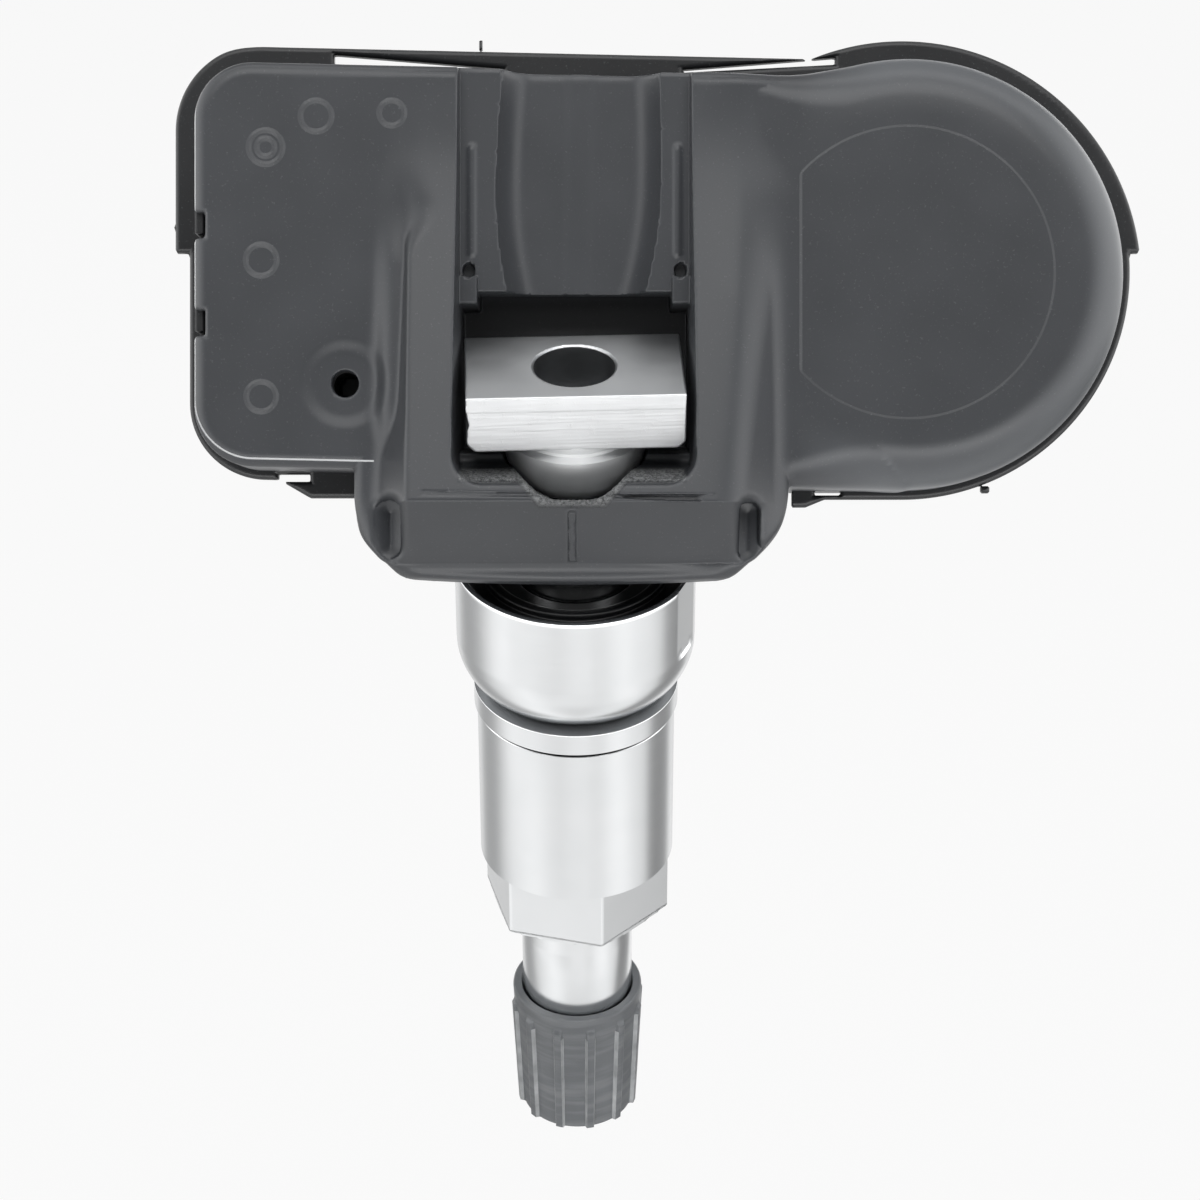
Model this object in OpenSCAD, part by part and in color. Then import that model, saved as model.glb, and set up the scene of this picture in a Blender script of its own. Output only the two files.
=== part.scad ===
// Tyre pressure sensor on a swivelling clamp-in valve, in millimetres.
// The valve axis is Z with the dust cap pointing down. The origin is on that axis, where the
// wheel rim is clamped. The sensor case leans back from the valve by the tilt angle.

/* [Case] */
// Distance from the valve axis to the left end of the case
case_left = 25.7; // [24:0.1:30]
// Distance from the swivel axis up to the top edge at the left corner
case_top = 25.3; // [24.5:0.1:28]
// How much lower the top edge is beside the battery end
top_fall = 0.9; // [0:0.1:1.2]
// Distance from the swivel axis down to the lower edge of the case
case_bottom = 2.3; // [1.8:0.1:3]
// Radius of the left corners seen from the front
corner_r = 4; // [2.5:0.1:6]
// Rounding along the front edge of the case
edge_r = 1; // [0.4:0.1:1.2]
// Height of the front face above the swivel axis
face_h = 2; // [1.6:0.1:3]
// Depth of the case from its front face to the joint with the cover
case_depth = 8; // [7.2:0.1:8.6]
// Wall thickness of the case
case_wall = 1.4; // [1:0.1:1.5]

/* [Battery end] */
// Distance from the valve axis to the centre of the round battery end
lobe_x = 22.8; // [22.3:0.1:26]
// Distance from the swivel axis up to the centre of the round battery end
lobe_y = 11; // [10.6:0.1:11.6]
// Radius of the round battery end
lobe_r = 14.7; // [14.4:0.1:16]
// Rounding along the front edge of the round end
lobe_edge_r = 3; // [1:0.1:3.2]
// Radius of the plain recessed panel on the battery end
panel_r = 9.9; // [6:0.1:10.5]
// Depth of the recessed panel and of the round mould marks
recess_depth = 0.2; // [0.1:0.05:0.4]

/* [Cradle] */
// Half width of the cradle block
cradle_half_w = 14.9; // [14.6:0.1:15.8]
// Half width of the saddle where it leaves the front face
saddle_foot = 13.3; // [12.6:0.1:14.2]
// Half width of the saddle along its highest edge
saddle_top = 11.6; // [11:0.1:12.4]
// Height of the saddle above the front face at its highest edge
saddle_rise = 5; // [3.5:0.1:6]
// Distance from the swivel axis up to where the saddle starts to rise
saddle_start = 19.2; // [15:0.1:21]
// Distance from the swivel axis down to the highest edge of the saddle
crease_y = 4.8; // [4:0.1:5.2]
// Angle of the sloping front wall below the highest edge
slope_angle = 49; // [44:1:54]
// Radius of the rounded cradle front about the swivel axis
front_r = 9.8; // [9.3:0.05:9.9]
// Half width of the cradle where its front corners are cut off
front_half_w = 12; // [11:0.1:13]

/* [Pocket and channel] */
// Half width of the pocket around the valve head
pocket_half_w = 7.75; // [7.7:0.05:8.4]
// Distance from the swivel axis up to the top of the pocket
pocket_top = 9.5; // [9:0.1:10.5]
// Distance from the swivel axis down to the lower edge of the pocket
pocket_bottom = 3.3; // [2.8:0.1:3.8]
// Depth of the pocket below the swivel axis
pocket_depth = 5.2; // [4.8:0.1:5.4]
// Radius of the lower corners of the pocket
pocket_corner_r = 1.7; // [0.8:0.1:2.2]
// Wall thickness around the pocket
pocket_wall = 1.5; // [1.2:0.1:1.6]
// Depth of the channel ledges below the front face
ledge_drop = 1.1; // [0.6:0.1:1.5]
// Half width of the round groove along the channel
groove_half_w = 5.5; // [4.5:0.1:6]
// Depth of the round groove below the ledges
groove_depth = 1.5; // [1:0.1:1.8]

/* [Rear cover] */
// Thickness of the cover floor and of its flange
cover_t = 1.2; // [1:0.1:1.4]
// Depth of the cover from the joint to its back face
cover_depth = 6; // [5.6:0.1:6.6]
// How far the flange stands out around the upper part of the case
flange_out = 2; // [1.4:0.1:2.6]
// How far the flange stands out around the lower part of the case
flange_low_out = 1.2; // [0.8:0.1:1.3]
// Distance from the swivel axis up to the step in the flange
flange_step_y = 12.9; // [9:0.1:16]
// Height of the locating rib of the cover inside the case
rib_h = 1.4; // [1:0.1:1.5]
// Clearance between the cover rib and the case wall
rib_gap = 0.15; // [0.1:0.05:0.25]

/* [Swivel] */
// Angle between the valve axis and the front face of the case
tilt = 33.5; // [31:0.5:36]
// Distance from the clamped rim face up to the swivel axis
swivel_z = 20; // [19.9:0.05:20.6]
// Radius of the ball at the inner end of the valve
ball_r = 4.9; // [4.6:0.05:5]
// Clearance around the ball and around the valve neck
ball_gap = 0.25; // [0.2:0.01:0.3]
// Swing of the case towards the straight position, in degrees
swing_up = 5; // [2:1:5]
// Swing of the case away from the straight position, in degrees
swing_down = 6; // [2:1:6]

/* [Valve head] */
// Length of the valve head across the pocket
head_w = 14.7; // [13.6:0.1:14.8]
// Width of the valve head from front to back
head_d = 8.4; // [7.6:0.1:8.6]
// Thickness of the valve head along the valve axis
head_t = 4.1; // [3.4:0.1:4.4]
// Distance from the ball centre to the underside of the valve head
head_start = 1.2; // [1:0.1:1.6]
// Small turn of the valve head in the pocket, in degrees
head_turn = 2.5; // [0:0.5:2.5]
// Radius of the air bore in the valve head
head_bore_r = 2.75; // [2.4:0.05:3]
// Depth of the air bore in the valve head
head_bore_depth = 10; // [8:0.5:12]

/* [Valve stem] */
// Radius of the neck below the ball
neck_r = 4.05; // [3.8:0.05:4.1]
// Radius of the threaded length that carries the nut
thread_r = 4.5; // [4.3:0.05:4.6]
// Radius of the plain shank between the nut and the cap
shank_r = 4.1; // [3.95:0.05:4.2]
// Distance from the rim face down to the end of the nut thread
thread_end = 20; // [19.6:0.1:20.4]
// Distance from the rim face down to the end of the plain shank
shank_end = 29.4; // [29:0.1:29.8]
// Radius of the cap thread at the outer tip
tip_r = 3.85; // [3.7:0.05:3.95]
// Distance from the rim face down to the tip of the stem
tip_end = 36.9; // [36.5:0.1:37.5]
// Radius of the chamber that holds the valve core
chamber_r = 2.65; // [2.6:0.01:2.7]
// Length of the wide part of the core chamber
chamber_len = 9.5; // [9:0.1:11]
// Radius of the air passage above the chamber
passage_r = 1.6; // [1.2:0.05:1.8]

/* [Collar and seal] */
// Radius of the collar
collar_r = 8.4; // [8.2:0.05:8.8]
// Height of the collar rim above the clamped rim face
collar_h = 9.95; // [9.8:0.05:10]
// Wall thickness of the collar rim
collar_wall = 0.65; // [0.5:0.05:0.8]
// Height at which the collar starts to round towards the rim
collar_round_z = 4; // [3:0.1:4.6]
// Radius of the collar face that bears on the rim
collar_foot_r = 5.9; // [5.6:0.1:6.4]
// Height of the seat for the rubber seal inside the collar
seal_seat_z = 5.4; // [5:0.1:6]
// Height of the rubber seal
seal_h = 3.6; // [3:0.1:3.8]
// Height of the ring on top of the rubber seal
seal_ring_h = 0.5; // [0.3:0.1:0.6]

/* [Washer and nut] */
// Gap between the collar and the washer, where the rim goes
rim_gap = 0.1; // [0.05:0.05:0.4]
// Radius of the washer
washer_r = 7.25; // [7.1:0.05:7.6]
// Thickness of the washer
washer_t = 1.75; // [1.4:0.05:2]
// Clearance between the washer and the nut
nut_seam = 0.1; // [0.05:0.05:0.2]
// Radius of the round part of the nut
nut_r = 7.03; // [6.95:0.01:7.2]
// Distance from the rim face down to the end of the round part
nut_round_end = 15.2; // [14.5:0.1:15.8]
// Distance from the rim face down to the end of the hexagon
nut_end = 19.35; // [19:0.05:19.6]
// Size of the hexagon across its flats
hex_flats = 12; // [11:0.5:12]
// Turn of the hexagon seen from the cap, in degrees
hex_turn = 45.4; // [0:0.1:60]
// Clearance between the stem and the bores that slide on it
slide_gap = 0.06; // [0.03:0.01:0.1]

/* [Cap] */
// Distance from the rim face down to the rim of the cap
cap_start = 28.1; // [28:0.05:28.6]
// Length of the cap
cap_len = 11; // [10.6:0.1:12]
// Radius of the cap at its rim
cap_rim_r = 4.85; // [4.75:0.05:5.2]
// Radius of the cap at its closed end
cap_end_r = 4.35; // [4.3:0.05:4.8]
// Height of the plain band below the cap rim
cap_band_h = 1.7; // [1:0.1:2.5]
// Number of grip ribs on the cap
cap_ribs = 12; // [8:1:16]
// Width of a grip rib
cap_rib_w = 0.65; // [0.4:0.05:0.8]
// How far a grip rib stands out
cap_rib_out = 0.22; // [0.1:0.02:0.3]
// Clearance between the cap and the plain shank
cap_gap = 0.2; // [0.1:0.05:0.25]
// Thickness of the sealing disc in the cap
disc_t = 0.9; // [0.6:0.1:1]

/* [Electronics] */
// Thickness of the circuit board
board_t = 1; // [0.8:0.1:1.2]
// Gap between the circuit board and the pocket floor above it
board_gap = 0.5; // [0.3:0.1:0.7]
// Clearance between the circuit board and the case wall
board_margin = 1.1; // [0.9:0.1:1.6]
// Radius of the coin cell
cell_r = 12.25; // [11:0.05:12.3]
// Thickness of the coin cell
cell_t = 5; // [3.2:0.1:5]
// Thickness of the battery tabs
tab_t = 0.25; // [0.15:0.05:0.3]
// Radius of the air port in the front face
port_r = 0.9; // [0.6:0.05:1.2]
// Radius of the dished ring around the air port
port_dish_r = 2.2; // [1.6:0.1:2.4]

/* [Hidden] */
$fn = 96;
// Overshoot of a cut past the face that it opens
cut = 1;
// Reach of a cut that passes right through the case
far = 60;
// Small overlap that joins two shapes of one piece
lap = 0.1;
// Segments of the rounded posts that the case is stretched over
post_fn = 40;

// Heights in the case's own frame: the swivel axis is 0 and the front face is up
joint_h = face_h - case_depth;
back_h = joint_h - cover_depth;
floor_h = back_h + cover_t;
roof_h = face_h - case_wall;
pocket_floor_h = -pocket_depth;
board_top_h = pocket_floor_h - pocket_wall - board_gap;
board_bottom_h = board_top_h - board_t;
ledge_h = face_h - ledge_drop;
groove_bottom_h = ledge_h - groove_depth;
groove_r = (groove_half_w * groove_half_w + groove_depth * groove_depth) / (2 * groove_depth);
top_right_y = case_top - top_fall;
lobe_share = 0.3;
blend_x = lobe_x - lobe_share * lobe_r;
lobe_low_y = lobe_y - lobe_r;
crease_h = face_h + saddle_rise;
socket_r = ball_r + ball_gap;
slot_r = neck_r + ball_gap;
inner_half_w = pocket_half_w + pocket_wall;
// Lower edge of the pocket block's back wall, and the foot of its front wall
block_back_y = 1.6;
front_foot_y = 2;
// Cut corners of the cradle front: start on the sides, middle and how far they come in
corner_start = 3.5;
corner_mid = 1.3;
corner_in = 1.6;

// The case hangs on the ball and leans back by the tilt angle
module on_swivel() {
    translate([0, 0, swivel_z]) rotate([90 - tilt, 0, 0]) children();
}

// A profile drawn as (up the case, above the axis) and run across the case
module across(half) {
    translate([-half, 0, 0]) rotate([90, 0, 90]) linear_extrude(2 * half) children();
}

// A block given by its two opposite corners
module block(a, b) {
    translate(a) cube(b - a);
}

// A ring or tube along Z between two heights
module ring(r_out, r_in, z0, z1) {
    translate([0, 0, z0]) difference() {
        cylinder(r = r_out, h = z1 - z0);
        translate([0, 0, -cut]) cylinder(r = r_in, h = z1 - z0 + 2 * cut);
    }
}

// Outline of the case seen from the front, grown by g
module case_outline(g) {
    inset_w = cradle_half_w - cut;
    translate([lobe_x, lobe_y]) circle(r = lobe_r + g);
    for (y = [case_top - corner_r, corner_r - case_bottom])
        translate([corner_r - case_left, y]) circle(r = corner_r + g);
    polygon([
        [-case_left - g, corner_r - case_bottom],
        [-case_left - g, case_top - corner_r],
        [corner_r - case_left, case_top + g],
        [blend_x, top_right_y + g],
        [lobe_x, lobe_y],
        [lobe_x, lobe_low_y - g],
        [inset_w, lobe_low_y - g],
        [inset_w, -case_bottom - g],
        [corner_r - case_left, -case_bottom - g]]);
}

// Upright post with a rounded front edge, from the cover joint to the front face
module post(x, y, r, edge) {
    translate([x, y, joint_h]) {
        cylinder(r = r, h = case_depth - edge, $fn = post_fn);
        translate([0, 0, case_depth - edge])
            rotate_extrude($fn = post_fn) intersection() {
                translate([r - edge, 0]) circle(r = edge, $fn = post_fn);
                square(r);
            }
    }
}

// Left part of the case, with rounded corners and front edge
module case_box() {
    end_r = edge_r + 2 * lap;
    hull() {
        post(corner_r - case_left, case_top - corner_r, corner_r, edge_r);
        post(corner_r - case_left, corner_r - case_bottom, corner_r, edge_r);
        post(blend_x - end_r, top_right_y - end_r, end_r, edge_r);
        post(blend_x - end_r, end_r - case_bottom, end_r, edge_r);
    }
}

// Round battery end with a soft front edge
module battery_end() {
    inner = lobe_r - lobe_edge_r;
    translate([lobe_x, lobe_y, joint_h]) rotate_extrude() {
        square([inner, case_depth]);
        square([lobe_r, case_depth - lobe_edge_r]);
        translate([inner, case_depth - lobe_edge_r]) intersection() {
            circle(r = lobe_edge_r);
            square(lobe_edge_r);
        }
    }
}

// Web between the cradle and the round end
module battery_web() {
    edge = lobe_edge_r;
    hull() for (x = [cradle_half_w - edge / 2, lobe_x])
        for (y = [lobe_low_y + edge, lobe_y + lobe_edge_r])
            post(x, y, edge, edge - lap);
}

// Side profile of the cradle and saddle: rounded front, sloping front wall and long ramp
module cradle_profile() {
    reach = saddle_start;
    foot_run = 3;
    wall_foot_y = front_foot_y + foot_run;
    slope_len = 30;
    slope_h = 20;
    difference() {
        union() {
            intersection() {
                circle(r = front_r);
                translate([-front_r, -front_r]) square([front_r, front_r + crease_h]);
            }
            polygon([
                [-front_foot_y, floor_h],
                [block_back_y, floor_h],
                [block_back_y, joint_h],
                [reach, joint_h],
                [reach, face_h],
                [-crease_y, crease_h],
                [-wall_foot_y, 0],
                [-front_foot_y, cut - front_r]]);
        }
        translate([-crease_y, crease_h]) rotate(slope_angle)
            translate([-slope_len, 0]) square([slope_len, slope_h]);
    }
}

// Plan outline of the cradle block with its cut corners
module cradle_plan() {
    w = cradle_half_w;
    polygon([
        [-w, saddle_start],
        [-w, corner_start - front_r],
        [corner_in - w, corner_mid - front_r],
        [-front_half_w, -front_r - lap],
        [front_half_w, -front_r - lap],
        [w - corner_in, corner_mid - front_r],
        [w, corner_start - front_r],
        [w, saddle_start]]);
}

// Thin slice across the saddle at height y up the case
module saddle_slice(y, foot, top, rise) {
    slice_t = 0.01;
    translate([0, y, 0]) rotate([90, 0, 0]) linear_extrude(slice_t) polygon([
        [-foot, 0],
        [-foot, face_h],
        [-top, face_h + rise],
        [top, face_h + rise],
        [foot, face_h],
        [foot, 0]]);
}

// Solid cradle with its saddle, before the pocket and hollows are cut
module cradle_block() {
    intersection() {
        across(cradle_half_w + cut) cradle_profile();
        union() {
            translate([0, 0, floor_h]) linear_extrude(face_h - floor_h) cradle_plan();
            hull() {
                saddle_slice(saddle_start, saddle_top, saddle_top, lap / 5);
                saddle_slice(-crease_y, saddle_foot, saddle_top, saddle_rise);
                saddle_slice(-front_r, saddle_foot, saddle_top, saddle_rise);
            }
        }
    }
}

// Hollow for the electronics, open towards the cover
module case_hollow() {
    side_w = cradle_half_w - case_wall;
    cheek_len = 14;
    difference() {
        union() {
            intersection() {
                translate([0, 0, floor_h - cut])
                    linear_extrude(roof_h - floor_h + cut) case_outline(-case_wall);
                union() {
                    block([-far, -far, joint_h - cut], [far, far, face_h]);
                    block([-side_w, -far, floor_h - cut], [side_w, far, face_h]);
                }
            }
            for (side = [-1, 1])
                intersection() {
                    across(side_w) intersection() {
                        circle(r = front_r - case_wall);
                        translate([-front_r, -front_r - cut])
                            square([front_r + front_foot_y, front_r + cut]);
                    }
                    translate([side * (inner_half_w + side_w) / 2, -cut, floor_h / 2])
                        cube([side_w - inner_half_w, cheek_len, far], center = true);
                }
        }
        block([-inner_half_w, -far, floor_h - 2 * cut], [inner_half_w, block_back_y, face_h]);
        block([-inner_half_w, 0, pocket_floor_h - pocket_wall],
            [inner_half_w, pocket_top + pocket_wall, face_h]);
        block([-inner_half_w, pocket_top, groove_bottom_h - pocket_wall],
            [inner_half_w, case_top, face_h]);
    }
}

// Pocket for the valve head, with rounded lower corners
module pocket_cut() {
    w = pocket_half_w;
    r = pocket_corner_r;
    translate([0, 0, pocket_floor_h]) linear_extrude(crease_h - pocket_floor_h + cut) {
        for (side = [-1, 1])
            translate([side * (w - r), r - pocket_bottom]) circle(r = r);
        translate([-w, r - pocket_bottom]) square([2 * w, pocket_top + pocket_bottom - r]);
        translate([r - w, -pocket_bottom]) square([2 * (w - r), r + cut]);
    }
}

// Channel from the pocket out through the top edge, with its round groove
module channel_cut() {
    run = case_top - pocket_top + 2 * cut;
    block([-pocket_half_w, pocket_top - lap, ledge_h],
        [pocket_half_w, pocket_top + run, crease_h + cut]);
    translate([0, pocket_top + run, groove_bottom_h + groove_r]) rotate([90, 0, 0])
        cylinder(r = groove_r, h = run + lap);
}

// Seat of the ball, open to the front, and the slot that lets the neck swing
module ball_seat() {
    slot_len = front_r + 3 * cut;
    slot_half_w = slot_r - lap / 3;
    sphere(r = socket_r);
    cylinder(r = socket_r, h = crease_h + cut);
    for (a = [tilt - swing_up, tilt + swing_down])
        rotate([90 + a, 0, 0]) cylinder(r = slot_r, h = slot_len);
    across(slot_half_w) polygon([
        [0, 0],
        for (a = [tilt - swing_up, tilt + swing_down])
            slot_len * [-cos(a), -sin(a)]]);
}

// Catches of the cover sit in these two notches of the left wall
catch_w = 1.8;
catch_ys = [7.7, 14.3];
catch_in = 0.7;

// Catches at the left wall, grown for their notches, between two heights
module catch_notches(grow, low, high) {
    for (y = catch_ys)
        block([-case_left - cut, y - catch_w / 2 - grow, low],
            [-case_left + catch_in + grow, y + catch_w / 2 + grow, high]);
}

// Place of the air port above the pressure chip
port_at = [-15.4, 3.2];
// Depth and lip of the dish around the air port
dish_depth = 0.35;
dish_lip = 0.05;
// Straight side of the recessed panel, as a share of its radius from the centre
panel_side = 0.78;
// Plain round marks that the mould leaves on the face: place and radius
mould_marks = [[-20.8, 19, 1.1], [-21.1, 11.6, 1], [-21.1, 2.3, 1], [-17.4, 21.1, 1], [-12.3, 21.4, 0.9]];

// Grey moulded case with the cradle for the valve
module housing_shell() {
    color("#505356") on_swivel() {
        difference() {
            union() {
                case_box();
                battery_end();
                battery_web();
                cradle_block();
            }
            case_hollow();
            pocket_cut();
            channel_cut();
            ball_seat();
            catch_notches(lap, joint_h - cut, face_h + cut);
            translate([port_at[0], port_at[1], roof_h - cut]) cylinder(r = port_r, h = 2 * case_wall + cut);
            translate([port_at[0], port_at[1], face_h - dish_depth])
                cylinder(r1 = port_r, r2 = port_dish_r, h = dish_depth + dish_lip);
            for (m = mould_marks)
                translate([m[0], m[1], face_h - recess_depth]) cylinder(r = m[2], h = cut);
            translate([lobe_x, lobe_y, face_h - recess_depth]) linear_extrude(cut)
                intersection() {
                    circle(r = panel_r);
                    translate([-panel_side * panel_r, -panel_r]) square(2 * panel_r);
                }
        }
        pocket_tabs();
        ledge_ribs();
        front_rib();
    }
}

// Small square stops at the upper corners of the pocket
module pocket_tabs() {
    tab_w = 1.2;
    tab_len = 1.7;
    tab_h = 3;
    tab_drop = 0.9;
    for (side = [-1, 1])
        translate([side * (pocket_half_w + lap - tab_w / 2), pocket_top + lap, ledge_h - tab_drop])
            cube([tab_w, tab_len, tab_h], center = true);
}

// Low ribs along the channel ledges
module ledge_ribs() {
    ridge_in = 0.95;
    ridge_start = 3;
    ridge_len = 7;
    ridge_w = 0.4;
    ridge_t = 0.5;
    for (side = [-1, 1])
        translate([side * (pocket_half_w - ridge_in), pocket_top + ridge_start + ridge_len / 2, ledge_h])
            cube([ridge_w, ridge_len, ridge_t], center = true);
}

// Thin upright rib on the sloping front wall
module front_rib() {
    rib_len = 4.6;
    rib_w = 0.5;
    rib_out = 0.2;
    rib_x = -0.4;
    translate([rib_x, -crease_y, crease_h]) rotate([slope_angle, 0, 0])
        translate([0, -rib_len - cut, -rib_w]) cube([rib_w, rib_len, rib_w + rib_out]);
}

// Slit through the flange that narrows from its wide end to a point
module flange_slit(wide, thin, w) {
    thin_w = 0.06;
    polygon([wide, wide - [0, w], thin - [0, thin_w], thin]);
}

// Flap of the flange: corner heights below the swivel axis and places across the case
flap_left = [-20.2, -18.5];
flap_left_low = [-2.9, -3.9];
flap_right = [16, 17.2, 20];
flap_right_low = [-4.6, -4.1];
// Slits through the top of the flange: wide end, thin end and width
slit_left = [[-16.8, 27], [-2.5, 25.75], 0.4];
slit_right = [[18.1, 26.45], [8.7, 25.75], 0.3];
// Posts that carry the board: places and radius
board_posts = [[-21, 21], [-21, 1.6], [0, 20], [30, 17]];
board_post_r = 1.2;
cover_rib_t = 0.8;
cradle_gap = 0.2;

// Black cover: tray, flange around the case, locating rib and catches
module rear_cover() {
    inner = -case_wall - rib_gap;
    cradle_w = cradle_half_w + cradle_gap;
    color("#2b2c2e") on_swivel() difference() {
        union() {
            translate([0, 0, back_h]) linear_extrude(cover_depth) case_outline(0);
            translate([0, 0, joint_h - cover_t]) linear_extrude(cover_t) flange_plan();
            translate([0, 0, joint_h - cut]) linear_extrude(rib_h + cut) case_outline(inner);
            intersection() {
                catch_notches(0, joint_h - cut, face_h - edge_r);
                block([-case_left, -far, -far], [far, far, far]);
            }
        }
        translate([0, 0, floor_h]) linear_extrude(cover_depth + 2 * rib_h)
            case_outline(inner - cover_rib_t);
        block([-cradle_w, -far, back_h - cut], [cradle_w, -front_foot_y, face_h]);
        block([-cradle_w, -far, floor_h], [cradle_w, block_back_y + cradle_gap, face_h]);
        translate([0, 0, joint_h - cover_t - cut]) linear_extrude(cover_t + 2 * cut)
            for (slit = [slit_left, slit_right]) flange_slit(slit[0], slit[1], slit[2]);
    }
    color("#2b2c2e") on_swivel() for (p = board_posts)
        translate([p[0], p[1], floor_h - lap])
            cylinder(r = board_post_r, h = board_bottom_h - floor_h + lap);
}

// Outline of the flange: wide around the upper part, narrower below, with two lower flaps
module flange_plan() {
    low_shift = flange_low_out / 2;
    intersection() {
        case_outline(flange_out);
        translate([-far, flange_step_y]) square([2 * far, far]);
    }
    translate([0, low_shift]) case_outline(flange_low_out);
    polygon([
        [flap_left[0], 0],
        [flap_left[0], flap_left_low[0]],
        [flap_left[1], flap_left_low[1]],
        [-cradle_half_w, flap_left_low[1]],
        [-cradle_half_w, 0]]);
    polygon([
        [cradle_half_w, 0],
        [cradle_half_w, flap_right_low[0]],
        [flap_right[0], flap_right_low[0]],
        [flap_right[1], flap_right_low[1]],
        [flap_right[2], flap_right_low[1]],
        [flap_right[2], 0]]);
}

// Board with cut corners and a round end, cut back around the cradle
module circuit_board() {
    inset = case_wall + board_margin;
    left = inset - case_left;
    low = inset - case_bottom;
    top = case_top - inset;
    corner = 2;
    end_low = lobe_low_y + inset + board_margin / 2;
    notch_w = cradle_half_w + board_margin / 2;
    notch_y = block_back_y + board_margin / 2;
    color("#2f6b45") on_swivel() translate([0, 0, board_bottom_h]) {
        linear_extrude(board_t) polygon([
            [left, low + corner],
            [left, top - corner],
            [left + corner, top],
            [blend_x, top_right_y - inset],
            [lobe_x, lobe_y],
            [lobe_x, end_low],
            [notch_w, end_low],
            [notch_w, notch_y],
            [-notch_w, notch_y],
            [-notch_w, low],
            [left + corner, low]]);
        translate([lobe_x, lobe_y, 0]) cylinder(r = lobe_r - inset, h = board_t);
    }
}

// Heights of the coin cell, which hangs between its two tabs under the case roof
cell_clearance = 0.3;
cell_top_h = roof_h - cell_clearance - tab_t;
cell_low_h = cell_top_h - cell_t;
// Step between the can and the smaller lid of the coin cell
cell_step_r = 0.9;
cell_step_h = 0.5;
// Half width of the tabs and how far they reach past the centre of the cell
tab_half_w = 2;
tab_reach = 4;
tab_leg = 7;

// Coin cell with its crimped edge
module battery_cell() {
    color("#c3c6c8") on_swivel() translate([lobe_x, lobe_y, cell_low_h]) {
        cylinder(r = cell_r - cell_step_r, h = cell_t);
        translate([0, 0, cell_step_h]) cylinder(r = cell_r, h = cell_t - cell_step_h);
    }
}

// Strip from the top of the cell down to the board beside the pocket
module battery_tab_upper() {
    leg_x = (inner_half_w + lobe_x - cell_r) / 2;
    color("#b9bcbd") on_swivel() {
        block([leg_x - tab_t / 2, lobe_y - tab_half_w, cell_top_h],
            [lobe_x + tab_reach, lobe_y + tab_half_w, cell_top_h + tab_t]);
        block([leg_x - tab_t / 2, lobe_y - tab_half_w, board_top_h],
            [leg_x + tab_t / 2, lobe_y + tab_half_w, cell_top_h + tab_t]);
    }
}

// Strip under the cell with a short leg to the board
module battery_tab_lower() {
    color("#b9bcbd") on_swivel() {
        block([lobe_x - tab_reach, lobe_y - tab_half_w, cell_low_h - tab_t],
            [lobe_x + tab_leg, lobe_y + tab_half_w, cell_low_h]);
        block([lobe_x + tab_leg - tab_t, lobe_y - tab_half_w, board_top_h],
            [lobe_x + tab_leg, lobe_y + tab_half_w, cell_low_h]);
    }
}

// Pressure chip under the air port
chip_w = 5;
chip_t = 2.4;
chip_shift = 1.5;
chip_hole_r = 0.5;
chip_hole_depth = 0.6;
module pressure_chip() {
    color("#3a3a3c") on_swivel() difference() {
        translate([port_at[0], port_at[1] + chip_shift, board_top_h + chip_t / 2])
            cube([chip_w, chip_w, chip_t], center = true);
        translate([port_at[0], port_at[1], board_top_h + chip_t - chip_hole_depth])
            cylinder(r = chip_hole_r, h = chip_hole_depth + cut);
    }
}

// Rubber sleeve that leads air from the port to the pressure chip
module port_seal() {
    color("#1f2022") on_swivel() translate([port_at[0], port_at[1], 0])
        ring(port_dish_r - lap, port_r, board_top_h + chip_t, roof_h);
}

// Places and sizes of the flat components on the board
controller_at = [-18.5, 15.5];
controller_size = [6, 6, 0.9];
crystal_at = [-20, 9];
crystal_size = [3.2, 2.5, 0.8];
capacitor_at = [-13.2, 12.6];
capacitor_size = [1.6, 0.8, 0.8];
capacitor_pitch = 2;

// Component that lies flat on the board
module on_board(at, size) {
    translate([at[0], at[1], board_top_h + size[2] / 2]) cube(size, center = true);
}

// Flat chip that measures, counts time and drives the transmitter
module controller_chip() {
    color("#27282a") on_swivel() on_board(controller_at, controller_size);
}

// Metal can of the crystal
module crystal_can() {
    color("#c9cbcc") on_swivel() on_board(crystal_at, crystal_size);
}

// Three small chip capacitors beside the controller
module chip_capacitors() {
    color("#b08a5a") on_swivel() for (i = [0:2])
        on_board(capacitor_at + [0, i * capacitor_pitch], capacitor_size);
}

// Place and sizes of the trigger coil: length, flange thickness, width, heights and winding
coil_at = [-14, 20.6];
coil_half_len = 4;
coil_flange_t = 1.1;
coil_half_w = 1.4;
coil_h = 2.8;
coil_bar = 1.2;
wire_w = 2.4;
wire_gap = 0.05;

// Ferrite core of the low frequency trigger coil
module trigger_coil_core() {
    neck = coil_half_len - coil_flange_t;
    bar_low = (coil_h - coil_bar) / 2;
    color("#37383b") on_swivel() translate([coil_at[0], coil_at[1], board_top_h]) {
        block([-coil_half_len, -coil_half_w, 0], [-neck, coil_half_w, coil_h]);
        block([neck, -coil_half_w, 0], [coil_half_len, coil_half_w, coil_h]);
        block([-neck - lap, -coil_bar / 2, bar_low], [neck + lap, coil_bar / 2, bar_low + coil_bar]);
    }
}

// Wire wound round the middle of the ferrite core
module trigger_coil_winding() {
    wound = 2 * (coil_half_len - coil_flange_t) - 4 * wire_gap;
    inner = coil_bar + 2 * wire_gap;
    color("#b5653a") on_swivel() translate([coil_at[0], coil_at[1], board_top_h + coil_h / 2])
        difference() {
            cube([wound, wire_w, wire_w], center = true);
            cube([wound + cut, inner, inner], center = true);
        }
}

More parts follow.
